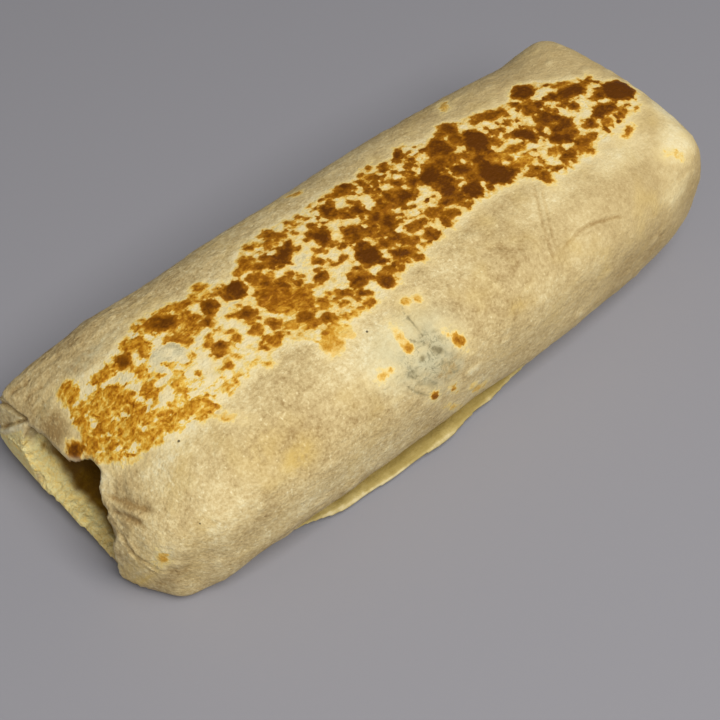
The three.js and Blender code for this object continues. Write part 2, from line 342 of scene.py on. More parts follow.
# ---- toasted marks, each (x, arc from the crest, half length, half width, angle, depth of browning) ----
MARKS = [
    (-84.1, 19.5, 2.5, 1.8, -80, 0.42), (-84.5, 17.7, 1.6, 1.0, -79, 0.42), (-90.9, 7.9, 2.5, 1.5, -68, 0.76),
    (-70.7, 12.8, 2.5, 2.2, -70, 0.75), (-73.9, 13.8, 1.8, 1.4, -11, 0.5), (-76.9, 14.5, 2.1, 1.5, -27, 0.42),
    (-65.6, 13.9, 4.0, 1.9, -61, 0.52), (-66.5, 11.9, 1.7, 1.3, -79, 0.7), (-57.5, 15.3, 3.3, 1.9, -52, 1),
    (-57.9, 15.2, 5.6, 2.9, -46, 0.62), (-62.5, 18.7, 1.5, 1.4, -52, 0.45), (-53.0, 17.6, 3.7, 1.3, -30, 0.55),
    (-49.3, 15.9, 3.0, 1.2, -33, 0.6), (-46.2, 10.6, 2.6, 2.5, 59, 0.88), (-47.1, 15.9, 1.5, 1.4, 1, 0.5),
    (-44.5, 17.5, 1.8, 1.6, -61, 0.5), (-58.0, 7.5, 2.7, 1.0, -51, 0.62), (-53.1, 1.9, 1.7, 1.0, 42, 0.55),
    (-52.5, -1.8, 2.4, 1.8, 61, 0.85), (-53.7, -6.8, 1.4, 0.8, 61, 0.48), (-50.0, 6.9, 1.8, 1.5, -65, 0.75),
    (-52.6, 8.2, 1.7, 1.2, -45, 0.6), (-51.8, 10.9, 2.5, 1.3, -35, 0.6), (-52.9, 13.5, 2.4, 1.0, -28, 0.6),
    (-60.0, 0.9, 1.8, 1.1, 26, 0.5), (-69.8, 7.3, 1.4, 1.1, -51, 0.5), (-71.3, 1.7, 2.3, 1.7, -76, 0.5),
    (-65.1, -0.9, 2.5, 1.9, 72, 0.36), (-66.4, -4.6, 1.9, 1.4, 68, 0.36), (-58.2, -11.8, 1.7, 0.8, 5, 0.42),
    (-55.6, -11.2, 1.3, 0.5, 26, 0.42), (-65.0, -10.3, 2.3, 1.1, -26, 0.4), (-67.6, -9.8, 2.3, 1.3, -30, 0.42),
    (-70.3, -8.5, 1.9, 1.3, -38, 0.38), (-72.9, -9.5, 2.2, 1.7, -59, 0.38), (-73.0, -6.0, 1.7, 1.2, -55, 0.38),
    (-80.3, 8.0, 4.2, 2.7, -59, 0.42), (-77.9, 8.5, 3.2, 1.9, -58, 0.45), (-76.7, 4.7, 2.7, 2.1, 85, 0.42),
    (-76.8, 0.9, 2.1, 1.4, -61, 0.5), (-83.1, 5.7, 2.3, 1.8, 73, 0.48), (-81.9, 1.7, 2.5, 1.4, -67, 0.44),
    (-79.4, -1.2, 2.5, 1.6, -54, 0.46), (-76.7, -3.5, 2.2, 1.0, -47, 0.46), (-76.1, -6.7, 2.2, 1.5, 85, 0.42),
    (-79.9, -5.5, 2.6, 1.1, -52, 0.44), (-79.3, -8.0, 1.9, 0.9, -44, 0.44), (-84.4, 12.6, 1.9, 1.0, -36, 0.38),
    (-81.2, 11.5, 1.8, 0.8, -28, 0.4), (-86.1, 9.6, 1.8, 1.0, -80, 0.38), (-87.0, 7.2, 1.5, 1.2, 29, 0.42),
    (-86.6, 4.3, 1.8, 1.1, -76, 0.42), (-88.1, 3.3, 1.5, 0.9, -75, 0.36), (-86.4, 0.8, 2.2, 0.8, -56, 0.42),
    (-84.0, -0.4, 2.1, 1.1, -58, 0.42), (-82.0, -1.6, 1.8, 1.1, -56, 0.44), (-87.2, -0.8, 3.5, 0.7, -64, 0.34),
    (-38.3, 10.0, 3.2, 2.8, -85, 0.92), (-40.7, 9.4, 1.7, 1.5, 74, 0.8), (-41.1, 2.3, 2.3, 1.7, -29, 0.8),
    (-42.0, -3.6, 1.9, 1.7, 71, 0.62), (-47.4, -2.3, 1.5, 1.1, 49, 0.45), (-41.8, -7.5, 2.0, 1.2, -58, 0.55),
    (-22.2, 10.8, 3.6, 2.8, -52, 0.95), (-19.1, 12.4, 2.2, 1.3, 54, 0.9), (-25.4, 10.9, 2.4, 1.3, -5, 0.85),
    (-29.2, 12.2, 2.3, 1.1, -39, 0.7), (-30.4, 15.6, 2.0, 1.7, -89, 0.6), (-22.3, 17.0, 1.8, 1.5, -3, 0.72),
    (-4.0, 15.8, 2.3, 2.0, 84, 0.92), (-1.9, 12.2, 3.7, 1.2, -45, 0.88), (2.7, 10.5, 2.6, 2.2, -32, 0.95),
    (3.7, 11.6, 1.6, 1.5, -71, 0.9), (3.5, 18.1, 2.5, 1.4, -11, 0.7), (-10.8, 8.7, 2.5, 2.1, -90, 0.95),
    (-3.7, 5.3, 2.3, 1.6, -33, 0.82), (-4.7, 2.6, 1.7, 1.3, 50, 0.8), (-6.1, -3.8, 3.4, 3.0, -74, 1),
    (-5.6, -0.3, 2.1, 1.5, 49, 0.95), (-5.1, -7.4, 1.8, 1.3, -39, 0.92), (0.9, -8.7, 2.8, 1.7, -39, 0.86),
    (14.7, 5.0, 2.9, 2.4, -55, 0.92), (11.5, 6.9, 1.6, 1.5, -43, 0.7), (16.5, 10.5, 2.5, 1.7, -66, 0.72),
    (8.0, 8.1, 2.2, 1.0, 49, 0.8), (4.4, 6.0, 3.2, 1.6, 56, 0.84), (1.0, 3.3, 2.1, 1.5, 49, 0.8),
    (5.3, 1.6, 2.5, 2.1, 54, 0.86), (4.3, -1.5, 1.5, 1.4, -37, 0.72), (7.3, 5.3, 1.8, 1.8, -44, 0.6),
    (4.9, -6.6, 2.3, 1.5, -30, 0.66), (-0.3, -3.5, 1.5, 1.4, -37, 0.72), (-13.6, -0.3, 2.4, 0.8, -8, 0.85),
    (-19.7, -1.2, 2.0, 1.4, -0, 0.85), (-13.6, -8.7, 2.2, 1.9, 0, 0.88), (-5.5, -10.7, 1.8, 1.2, -38, 0.8),
    (-8.5, -13.0, 2.2, 2.0, -82, 0.82), (-25.0, 1.4, 1.6, 1.3, -1, 0.78), (-31.5, 6.1, 2.3, 1.0, -51, 0.78),
    (-32.5, 9.7, 2.1, 1.3, -64, 0.72), (-30.6, 8.8, 2.1, 1.0, -53, 0.66), (-32.4, 3.4, 3.0, 2.3, -47, 0.62),
    (-30.8, 0.2, 5.0, 2.6, -29, 0.58), (-27.7, -2.2, 2.6, 2.2, 58, 0.58), (-35.3, 3.0, 1.9, 1.7, 66, 0.64),
    (-34.3, -0.9, 2.3, 2.2, -83, 0.52), (-31.4, -3.6, 2.2, 1.9, -49, 0.5), (-27.8, -5.5, 2.5, 2.0, 53, 0.6),
    (-30.8, -8.3, 2.2, 1.8, -44, 0.68), (-35.3, -8.0, 1.5, 1.2, -46, 0.45), (-38.0, -4.7, 2.1, 1.6, -75, 0.7),
    (-42.5, -3.6, 1.7, 1.2, -29, 0.66), (-24.2, -1.9, 1.5, 1.3, -20, 0.55), (-18.3, -9.2, 2.3, 1.1, -27, 0.58),
    (-24.7, -8.7, 1.5, 1.2, -43, 0.4), (-15.5, -14.8, 1.8, 1.5, 44, 0.6), (-21.3, -15.3, 3.1, 0.7, -10, 0.5),
    (-27.1, -15.0, 1.4, 1.1, 29, 0.46), (-31.0, -18.8, 2.5, 2.4, 26, 0.24), (-29.2, -17.0, 1.7, 1.5, 45, 0.3),
    (-26.5, -18.0, 1.7, 1.4, -33, 0.16), (-46.5, -13.2, 0.9, 0.8, -68, 0.42), (-48.9, -10.5, 0.9, 0.6, 55, 0.3),
    (-53.9, -10.2, 0.6, 0.5, 63, 0.3), (24.3, 6.0, 4.2, 2.9, 46, 0.95), (24.9, 9.5, 1.9, 1.3, 48, 0.8),
    (33.9, 13.7, 3.6, 2.8, 26, 0.8), (41.0, 17.0, 2.7, 2.4, 66, 0.7), (39.4, 12.4, 2.5, 2.2, 50, 0.72),
    (34.4, 9.9, 2.8, 2.1, 12, 0.78), (30.1, 8.5, 2.3, 1.9, 46, 0.78), (43.3, 7.9, 3.6, 3.5, 73, 0.97),
    (42.2, 4.9, 2.3, 2.1, 33, 0.92), (43.3, 11.0, 1.9, 1.7, -44, 0.9), (52.7, 13.3, 4.8, 1.9, -24, 0.66),
    (56.4, 12.4, 2.0, 1.5, 16, 0.7), (55.2, 1.5, 3.8, 2.0, -53, 0.97), (67.4, 14.4, 3.6, 3.3, 16, 0.9),
    (64.6, 14.3, 1.8, 1.7, 47, 0.8), (62.7, 9.4, 3.3, 1.3, -51, 0.72), (66.1, 8.0, 2.1, 1.7, 39, 0.85),
    (62.4, 7.3, 2.7, 1.3, -50, 0.72), (76.7, 5.6, 5.7, 2.5, -10, 0.88), (82.7, 5.1, 2.9, 1.1, 19, 0.85),
    (71.6, 7.2, 2.2, 1.9, 26, 0.82), (77.0, 9.4, 3.5, 1.2, -28, 0.6), (87.6, -2.7, 5.4, 4.3, 1, 1),
    (82.2, -1.1, 3.4, 1.8, -0, 0.85), (88.3, -5.8, 2.5, 1.6, 27, 0.98), (77.8, -5.6, 3.9, 2.6, -12, 0.82),
    (71.6, -7.3, 2.4, 1.8, -5, 0.72), (80.9, -6.5, 2.0, 1.6, -86, 0.82), (76.3, -10.0, 2.0, 1.6, 25, 0.62),
    (81.6, -9.6, 2.5, 1.1, 40, 0.66), (64.4, 2.9, 2.5, 2.4, 83, 0.88), (66.1, 0.4, 2.5, 1.6, -36, 0.85),
    (61.2, 1.3, 2.0, 1.4, 40, 0.8), (67.1, -2.5, 2.9, 2.2, 35, 0.82), (63.4, -2.6, 2.1, 1.9, 13, 0.82),
    (62.0, -6.3, 3.9, 2.5, -26, 0.88), (66.2, -6.4, 2.4, 1.6, 38, 0.7), (64.5, -11.0, 3.1, 2.4, 30, 0.66),
    (68.9, -10.6, 2.0, 1.3, 5, 0.7), (63.5, -13.5, 2.1, 1.4, -13, 0.62), (57.7, -12.0, 2.7, 1.5, 11, 0.85),
    (55.7, -8.7, 3.0, 1.1, 31, 0.6), (38.4, -4.4, 5.0, 3.7, -54, 1), (38.3, -0.3, 2.3, 2.1, 27, 0.95),
    (42.2, -6.6, 2.3, 1.7, -4, 0.9), (45.3, -0.9, 3.5, 1.7, -9, 0.56), (42.0, 0.4, 2.4, 1.9, -36, 0.6),
    (49.9, -0.8, 2.5, 1.5, -21, 0.58), (38.9, 2.2, 2.7, 2.1, 41, 0.86), (32.5, 2.8, 2.9, 1.9, -40, 0.88),
    (33.2, 6.7, 1.9, 1.6, 44, 0.75), (32.2, -1.0, 2.2, 1.6, 44, 0.75), (22.4, 3.7, 2.2, 2.1, 36, 0.86),
    (26.2, 2.8, 2.6, 2.2, -37, 0.86), (24.6, -0.7, 2.9, 2.4, 43, 0.88), (20.9, -3.3, 1.7, 1.3, 5, 0.8),
    (17.5, -3.6, 2.3, 1.3, -7, 0.72), (29.5, -4.9, 2.9, 2.6, 33, 0.97), (19.6, 7.7, 1.9, 1.6, 47, 0.85),
    (47.8, -13.1, 2.6, 1.5, 89, 0.8), (48.5, -5.6, 1.9, 1.5, -33, 0.4), (46.0, -5.5, 1.9, 1.6, 34, 0.5),
    (11.7, -4.3, 2.4, 1.0, -19, 0.72), (15.8, -3.1, 2.2, 1.0, -11, 0.75), (19.6, -7.3, 1.8, 1.4, 10, 0.75),
    (2.8, -11.8, 2.0, 1.0, -52, 0.72), (-3.3, -35.6, 2.3, 1.1, -64, 0.6), (-8.4, -20.6, 0.7, 0.6, 22, 0.3), (-5.3, -21.9, 0.6, 0.6, -9, 0.28), (-7.5, -49.1, 0.9, 0.5, -57, 0.5),
    (-16.4, -30.4, 1.3, 1.0, -52, 0.5), (-16.3, -28.4, 1.1, 0.8, 79, 0.22), (-16.2, -26.6, 1.6, 0.8, 85, 0.16),
    (-26.2, -32.4, 1.3, 0.7, -15, 0.24), (-24.6, -32.3, 0.8, 0.5, -31, 0.24), (1.6, -57.6, 2.7, 0.9, -55, 0.2),
    (-6.4, -58.8, 2.2, 0.6, -56, 0.16), (-90.7, -30.1, 1.2, 0.6, -79, 0.34),
    (-62.5, -18.2, 0.8, 0.35, -43, 0.14), (84.9, -28.8, 1.3, 0.8, -50, 0.22), (83.1, -27.5, 1.2, 0.7, -24, 0.08),
    (-3.7, 29.5, 1.6, 0.9, -71, 0.4), (48.5, 26.9, 1.7, 0.7, 56, 0.3),
    (-14.0, -46.8, 1.3, 0.75, -56, 0.9), (86.6, -11.1, 1.0, 0.6, 20, 0.7), (78.1, -15.6, 1.3, 0.6, 10, 0.6), (3.6, -59.0, 1.6, 1.0, 40, 0.14),
    (24.1, 19.0, 2.1, 1.0, 39, 0.9), (24.0, 12.9, 1.6, 0.7, -50, 0.85), (18.2, 18.1, 1.1, 0.8, -4, 0.7),
    (19.3, 16.0, 0.8, 0.6, -53, 0.62), (15.0, 20.5, 1.0, 0.5, 45, 0.66), (11.6, 19.1, 1.2, 0.7, 43, 0.7),
    (13.2, 17.3, 1.6, 0.9, -41, 0.58), (14.0, 14.9, 1.4, 0.6, -60, 0.6), (12.1, 14.3, 1.5, 0.8, 71, 0.76),
    (8.7, 13.7, 1.4, 1.1, 53, 0.86), (18.7, 7.5, 1.5, 0.6, 42, 0.62), (20.6, 10.5, 1.2, 0.4, 42, 0.5),
    (17.7, 10.7, 1.1, 0.5, -27, 0.72),
]

# pale places that stay clear among them: (x, arc, half length, half width, angle)
GAPS = [
    (-62.9, 6.4, 4.2, 1.4, -48), (-60.5, 1.5, 2.4, 1.1, -21), (-55.6, -0.2, 2.1, 1.0, -46),
    (-84.7, 7.1, 1.6, 1.4, 51), (-72.0, 7.9, 3.6, 1.2, -35), (-73.2, -2.6, 2.0, 1.5, -88),
    (-62.2, 6.5, 5.8, 3.6, -35), (-66.1, 2.2, 2.3, 1.9, 82), (-68.7, 0.8, 1.7, 1.4, 87), (-57.9, -3.2, 3.5, 2.4, 59),
    (-55.5, -9.1, 2.0, 1.4, 58), (-41.6, 6.6, 3.2, 1.3, -44), (-49.8, 2.9, 2.2, 1.9, 77),
    (-81.3, 16.1, 1.5, 1.0, -49), (-68.2, 12.2, 1.5, 1.2, 83), (-69.0, -3.6, 1.7, 1.3, 88),
    (-60.4, -16.0, 2.2, 2.0, -76), (-47.6, -5.0, 2.2, 1.5, -31), (-48.9, -8.6, 2.2, 1.4, -16),
    (-45.1, 6.5, 2.0, 1.3, -48), (-23.7, 13.8, 2.2, 1.2, 2), (-19.7, 7.0, 3.1, 2.5, 57), (-24.7, 6.1, 5.0, 1.7, -32),
    (-27.6, 7.4, 3.5, 1.7, -37), (-19.0, 3.1, 2.5, 1.3, -28), (-13.7, 4.3, 2.4, 2.0, 47), (-12.5, 2.2, 2.4, 1.8, 51),
    (-22.5, -3.4, 2.3, 2.0, 39), (-19.0, -3.9, 2.0, 1.3, -43), (-15.6, -6.1, 1.6, 1.5, 33),
    (-17.6, -7.3, 2.3, 1.1, -27), (-13.1, -12.8, 3.1, 1.2, 48), (-8.8, -9.0, 1.6, 1.3, 47),
    (0.1, 14.6, 3.2, 1.6, -47), (6.3, 11.3, 2.7, 2.0, 86), (6.0, 9.0, 2.9, 1.6, 41), (4.3, 14.2, 2.1, 1.6, -51),
    (0.1, 5.0, 2.1, 1.5, 49), (-1.7, 8.0, 3.6, 1.4, -43), (-5.9, 9.5, 3.1, 1.2, -44), (-6.6, 17.1, 1.9, 1.6, -67),
    (-10.0, 12.3, 2.1, 1.4, -8), (-10.0, 5.1, 1.7, 1.5, 55), (12.8, 11.9, 2.0, 1.6, 53), (14.5, 1.3, 2.6, 1.8, -59),
    (11.8, -0.1, 2.6, 1.8, -40), (8.3, -1.3, 2.1, 1.2, -32), (5.7, -2.3, 1.8, 1.2, 12), (18.5, 2.2, 3.7, 1.9, 9),
    (18.6, -1.2, 2.5, 1.6, 46), (22.6, 10.1, 2.0, 1.9, 55), (18.9, 12.0, 2.4, 1.6, -46), (-6.7, 13.3, 2.3, 1.1, -47),
    (-35.3, 7.8, 3.0, 0.7, 52), (-22.1, -12.5, 3.6, 0.6, -18), (-46.2, -4.7, 2.0, 1.5, -12),
    (-45.5, -9.7, 1.9, 1.2, -44), (19.9, 2.5, 3.0, 1.9, 86), (20.9, 0.1, 2.4, 1.6, 85), (23.6, 10.8, 2.4, 1.6, 48),
    (36.3, 7.6, 2.6, 1.3, -9), (50.0, 4.3, 2.4, 1.9, 40), (57.0, 5.2, 4.9, 1.2, -44), (49.4, 11.5, 3.3, 1.2, -31),
    (69.5, 9.9, 2.4, 1.4, 47), (69.7, 1.6, 3.9, 1.0, -84), (74.0, -3.5, 2.6, 1.5, 20), (59.8, -9.2, 1.9, 1.5, 13),
    (53.4, -5.3, 3.3, 3.0, -14), (52.9, -3.4, 2.5, 2.3, -14), (53.5, -9.3, 3.0, 1.6, 42), (45.7, -2.7, 2.3, 2.1, 24),
    (44.7, -12.0, 2.3, 1.0, -17), (52.6, -15.1, 2.1, 1.3, 39), (60.8, -15.0, 2.2, 1.3, 38),
    (27.5, 16.8, 2.3, 1.9, -2), (16.7, 8.3, 1.4, 0.9, 29), (8.1, 16.6, 1.8, 0.8, 44),
]

# ---- seeded gradient noise over points in millimetres ----
def noise(p, seed):
    p = np.asarray(p, float)
    cell = np.floor(p).astype(np.int64)
    f = p - cell
    u = f * f * f * (f * (f * 6 - 15) + 10)
    total = 0
    for dx in (0, 1):
        for dy in (0, 1):
            for dz in (0, 1):
                c = cell + (dx, dy, dz)
                h = (c[:, 0] * 374761393 + c[:, 1] * 668265263 + c[:, 2] * 2147483647 + seed * 974634777) & 0xFFFFFFFF
                h = ((h ^ (h >> 13)) * 1274126177) & 0xFFFFFFFF
                h = (h ^ (h >> 16)) & 0xFFFFFFFF
                a = (h & 0xFFFF) / 65536.0 * 2 * math.pi
                z = ((h >> 16) & 0xFFFF) / 65536.0 * 2 - 1
                r = np.sqrt(1 - z * z)
                g = (f[:, 0] - dx) * r * np.cos(a) + (f[:, 1] - dy) * r * np.sin(a) + (f[:, 2] - dz) * z
                w = (u[:, 0] if dx else 1 - u[:, 0]) * (u[:, 1] if dy else 1 - u[:, 1]) * (u[:, 2] if dz else 1 - u[:, 2])
                total = total + g * w
    return total * 1.5


# ---- where each vertex lies: x along the roll, arc from the crest (positive to the back), depth inside the skin ----
STATIONS = np.arange(NEAR_X, FAR_X + 0.01, 0.5)
ANGLES = np.linspace(0, 2 * math.pi, 1440, endpoint=False)
rings = section(STATIONS[:, None], ANGLES[None, :], 1.0)
steps = np.linalg.norm(np.diff(np.concatenate([rings, rings[:, :1]], 1), axis=1), axis=2)
around = np.concatenate([np.zeros((len(STATIONS), 1)), np.cumsum(steps, 1)], 1)[:, :-1]
around = -(around - around[:, [360]])
HEADINGS = np.linspace(-math.pi, math.pi, 1081)
centre_y = (BACK(STATIONS) - FRONT(STATIONS)) / 2
centre_z = (UNDER(STATIONS) + TOP(STATIONS)) / 2
arc_table = np.empty((len(STATIONS), len(HEADINGS)))
reach_table = np.empty_like(arc_table)
for i in range(len(STATIONS)):
    dy, dz = rings[i, :, 1] - centre_y[i], rings[i, :, 2] - centre_z[i]
    heading = np.arctan2(dz, dy)
    order = np.argsort(heading)
    arc_table[i] = np.interp(HEADINGS, heading[order], around[i][order], period=2 * math.pi)
    reach_table[i] = np.interp(HEADINGS, heading[order], np.hypot(dy, dz)[order], period=2 * math.pi)


def table(values, x, heading):
    i = np.clip((x - NEAR_X) / 0.5, 0, len(STATIONS) - 1.001)
    j = np.clip((heading + math.pi) / (2 * math.pi) * (len(HEADINGS) - 1), 0, len(HEADINGS) - 1.001)
    a, b = i.astype(int), j.astype(int)
    u, v = i - a, j - b
    return (1 - u) * ((1 - v) * values[a, b] + v * values[a, b + 1]) + u * ((1 - v) * values[a + 1, b] + v * values[a + 1, b + 1])


cx = np.clip(co[:, 0], NEAR_X, FAR_X)
dy, dz = co[:, 1] - (BACK(cx) - FRONT(cx)) / 2, co[:, 2] - (UNDER(cx) + TOP(cx)) / 2
heading = np.arctan2(dz, dy)
arc = table(arc_table, cx, heading)
depth = table(reach_table, cx, heading) - np.hypot(dy, dz)
depth = np.minimum(depth, np.minimum(co[:, 0] - NEAR_X, FAR_X - co[:, 0]) + 0.6)
at = co.copy()  # the smooth form, before relief


def line_distance(points, places):
    """Distance of each place from a polyline, and how far along it the nearest point is (0 to 1)."""
    points = np.asarray(points, float)
    lengths = np.linalg.norm(np.diff(points, axis=0), axis=1)
    starts = np.concatenate([[0], np.cumsum(lengths)])
    best, along = np.full(len(places), 1e9), np.zeros(len(places))
    for i in range(len(points) - 1):
        ab = points[i + 1] - points[i]
        t = np.clip(((places - points[i]) @ ab) / (ab @ ab), 0, 1)
        d = np.linalg.norm(places - (points[i] + t[:, None] * ab), axis=1)
        k = d < best
        best[k] = d[k]
        along[k] = (starts[i] + t[k] * lengths[i]) / starts[-1]
    return best, along


def smooth_line(points, times=2):
    points = np.asarray(points, float)
    for _ in range(times):
        mid = np.empty((2 * len(points) - 2, points.shape[1]))
        mid[0::2] = points[:-1] * 0.75 + points[1:] * 0.25
        mid[1::2] = points[:-1] * 0.25 + points[1:] * 0.75
        points = np.vstack([points[:1], mid, points[-1:]])
    return points


# ---- creases: points, depth, width, and how much the edge beside each stands up ----
CREASES = [
    ([(-91.0, -6.5, 26.8), (-90.6, -9.4, 27.2), (-90.0, -11.8, 28.2), (-88.6, -16.5, 29.6), (-87.7, -20.1, 30)], 0.5, 1.5, 0.2),
    ([(-92.6, -5.6, 26), (-92.2, -7.6, 26), (-91.5, -10.6, 26.9), (-90.1, -14.6, 28.4), (-89, -17.6, 29.2), (-87.6, -20.6, 29.6)], 0.42, 0.75, 0.12),
    ([(-93.3, -9.6, 23.6), (-92.8, -12, 24.6), (-92, -15, 25.6), (-91, -18, 26.4), (-90, -20.6, 26.4)], 0.3, 0.8, 0.2),
    ([(-94.9, -13.3, 21.2), (-94.7, -16.4, 20.2), (-94.3, -19.1, 17.3), (-93.2, -22.4, 15.8), (-91.8, -25, 13.5), (-89.7, -28, 15)], 0.36, 0.7, 0.16),
    ([(-94.5, -18.2, 18.8), (-93.7, -21.6, 13.5), (-91.5, -24.8, 11.5)], 0.22, 0.6, 0.14),
    ([(-92.7, 35, 23), (-90.1, 34.2, 26.1), (-88, 32.2, 28.6)], 0.3, 0.6, 0.15),
    ([(-91.7, 30.1, 25.6), (-89, 29.2, 28.4), (-86.3, 27.6, 30.9)], 0.25, 0.6, 0.15),
    ([(-85.8, 32.6, 30.1), (-82, 31.6, 32.9), (-77.8, 29.1, 35.7)], 0.2, 0.7, 0.1),
    ([(43.5, -13, 46.1), (41, -17.3, 45.7), (38, -21.8, 44.8), (35.5, -26.1, 43.5), (34, -29.3, 42), (32.5, -32.6, 39.7), (31.4, -35, 36)], 0.24, 0.5, 0.16),
    ([(45, -14.4, 46), (42, -18.8, 45.4), (39.5, -22.9, 44.5), (37, -26.9, 43.1), (35, -30.5, 41.3)], 0.18, 0.45, 0.14),
    ([(36.1, -31.9, 40.3), (38.7, -31.2, 40.8), (41.5, -30.8, 41.1), (45, -30.3, 41.4), (48.5, -30.6, 41.2), (52, -31.4, 40.6), (56, -32.2, 39.9), (59.5, -33.4, 38.6)], 0.34, 0.5, 0.2),
    ([(-29.2, -12.1, 45.7), (-24.2, -12.3, 45.8), (-19.4, -13.3, 45.9)], 0.25, 0.4, 0.12),
    ([(14.8, -23, 44.5), (19, -21.5, 44.9), (22.4, -22.8, 44.5), (24.4, -25.6, 43.6), (23.1, -28.6, 42.4), (19, -29.9, 41.6), (15.1, -28.7, 42.3), (13.8, -25.5, 43.7), (14.8, -23, 44.5)], 0.14, 0.8, 0.05),
    ([(-13.6, -27.8, 42.7), (-14, -32, 40.1), (-13.1, -35.6, 36.4), (-10.1, -37.8, 31.3)], 0.22, 0.5, 0.1),
    ([(-8.8, -29.2, 42), (-8.6, -33.6, 38.8), (-6.2, -36.8, 34.2)], 0.18, 0.5, 0.1),
    ([(-18.2, -32.2, 39.9), (-16.2, -36.1, 35.6), (-13.4, -38.2, 29.5)], 0.18, 0.5, 0.1),
    ([(-93.6, 26.0, 23.2), (-94.5, 30.9, 20.9), (-94.5, 36.3, 19.2), (-94, 39.6, 17.2), (-92, 41, 14)], 1.1, 0.6, 0.2),
    ([(-94, 27, 22.2), (-95, 29.4, 19.9), (-96.5, 32.8, 15.3), (-97, 35.9, 12.6), (-96.5, 39.5, 8)], 0.8, 0.45, 0.25),
    ([(-97.5, 34.1, 11.3), (-97.5, 30.6, 11.9), (-97.5, 27.4, 12.1), (-97.2, 24.2, 12.3)], 0.5, 0.35, 0.2),
    ([(-97, 32.6, 13.4), (-97, 29.2, 13.9), (-97, 26, 14.1)], 0.35, 0.35, 0.15),
    ([(101, 20.5, 24.5), (98.2, 38, 21)], 0.9, 0.7, 0.2),
    ([(101, 20.5, 21), (97.5, 37.5, 9)], 0.5, 0.6, 0.2),
    ([(101, -14.5, 23), (98, -33.5, 30)], 0.9, 0.8, 0.2),
]
# how much each crease is darkened in colour: painted shade in the grooves
crease_shade = np.zeros(n)
relief = np.zeros(n)
skin = 1 - ramp(1.2, 2.6, depth)
for points, deep, wide, edge in CREASES:
    d, along = line_distance(smooth_line(points), at)
    ends = ramp(0, 0.15, along) * ramp(1, 0.8, along) * 0.8 + 0.2
    groove = np.exp(-((d / wide) ** 2))
    relief -= deep * ends * groove
    relief += edge * ends * np.exp(-(((d - 1.9 * wide) / (0.9 * wide)) ** 2))
    crease_shade = np.maximum(crease_shade, groove * ends * min(1, deep * 2.2) * (d < 3 * wide) * (0.35 if wide > 1 else 1))

# ---- how sharply the form turns: rims of the folds, and the inner corners ----
def bend(times):
    turn = ((co - neighbours(co)) * nor).sum(1)[:, None]
    for _ in range(times):
        turn = 0.5 * (turn + neighbours(turn))
    return turn[:, 0] * (0.66 / spacing) ** 2 * 10


spacing = np.linalg.norm(co[edges[:, 0]] - co[edges[:, 1]], axis=1).mean()
turn = bend(3)
# the convex rims of the folds; they are painted lighter in colour, a painted highlight
rim = ramp(0.9, 3.0, turn)

# ---- small pleats gathered beside the fold of the near mouth ----
FOLD = smooth_line([(-90, 0, 28.4), (-90.5, -5, 27.8), (-92, -6.1, 26), (-93.5, -7.1, 23.6), (-94.5, -9.5, 21.6), (-94.6, -12.7, 21.3), (-95.2, -13.4, 18.5), (-96.5, -13, 12), (-96.5, -13.2, 5.6), (-96.5, -12.9, 1.5)])
fold_gap, fold_along = line_distance(FOLD, at)
warp_fold = noise(at / 5, 31)
pleat = noise(np.stack([(fold_gap + 0.9 * warp_fold) / 1.1, fold_along * 9, 0 * fold_gap], -1), 32)
pleat *= ramp(14, 4, fold_gap) * ramp(0.2, 0.8, fold_gap) * (depth < 1.6)
relief += 0.42 * pleat
relief += 0.25 * np.exp(-(((fold_gap - 0.8) / 0.7) ** 2)) * (depth < 1.6)  # the fold's rolled edge

# ---- lumps of the filling, wrinkles along the roll at the back, and the fine flaky skin ----
free = ramp(0.3, 4, at[:, 2])  # the underside rests flat
lumps = 0.8 * noise(at / 29, 1) + 0.32 * noise(at / 12, 2)
flat_place = np.stack([at[:, 0], arc], -1)
warp = 1.6 * noise(at / 7, 8)
streak_back = noise(np.stack([at[:, 0] / 9 + 0.15 * warp, (arc + warp) / 1.9, at[:, 2] * 0], -1), 4)
streak_back += 0.6 * noise(np.stack([at[:, 0] / 5, (arc + 0.6 * warp) / 1.1, at[:, 2] * 0 + 5], -1), 5)
backness = ramp(13, 26, arc) * ramp(62, 50, arc) * (0.35 + 0.65 * ramp(-30, -80, at[:, 0]))
streak_front = noise(np.stack([(at[:, 0] + 0.8 * warp) / 2.0, arc / 7, at[:, 2] * 0 + 9], -1), 6)
frontness = ramp(-22, -36, arc) * ramp(-72, -60, arc) * ramp(-40, -75, at[:, 0])
flake = noise(at / 3.2, 3)
relief += free * (lumps + 0.17 * backness * streak_back + 0.1 * frontness * streak_front + 0.12 * flake + 0.06 * noise(at / 1.7, 7))

# the facet tucked under the hood's back corner
low_line = np.interp(at[:, 1], (24, 26.7, 33, 39, 43), (23.5, 22.3, 15, 8, 4))
high_line = np.interp(at[:, 1], (24, 30, 41), (24.2, 22.4, 20))
gusset = ramp(-0.4, 0.5, at[:, 2] - low_line) * ramp(0.4, -0.6, at[:, 2] - high_line) * ramp(25.5, 28.5, at[:, 1]) * ramp(-90, -92.5, at[:, 0])
relief -= 1.5 * gusset * ramp(42, 34, at[:, 1])

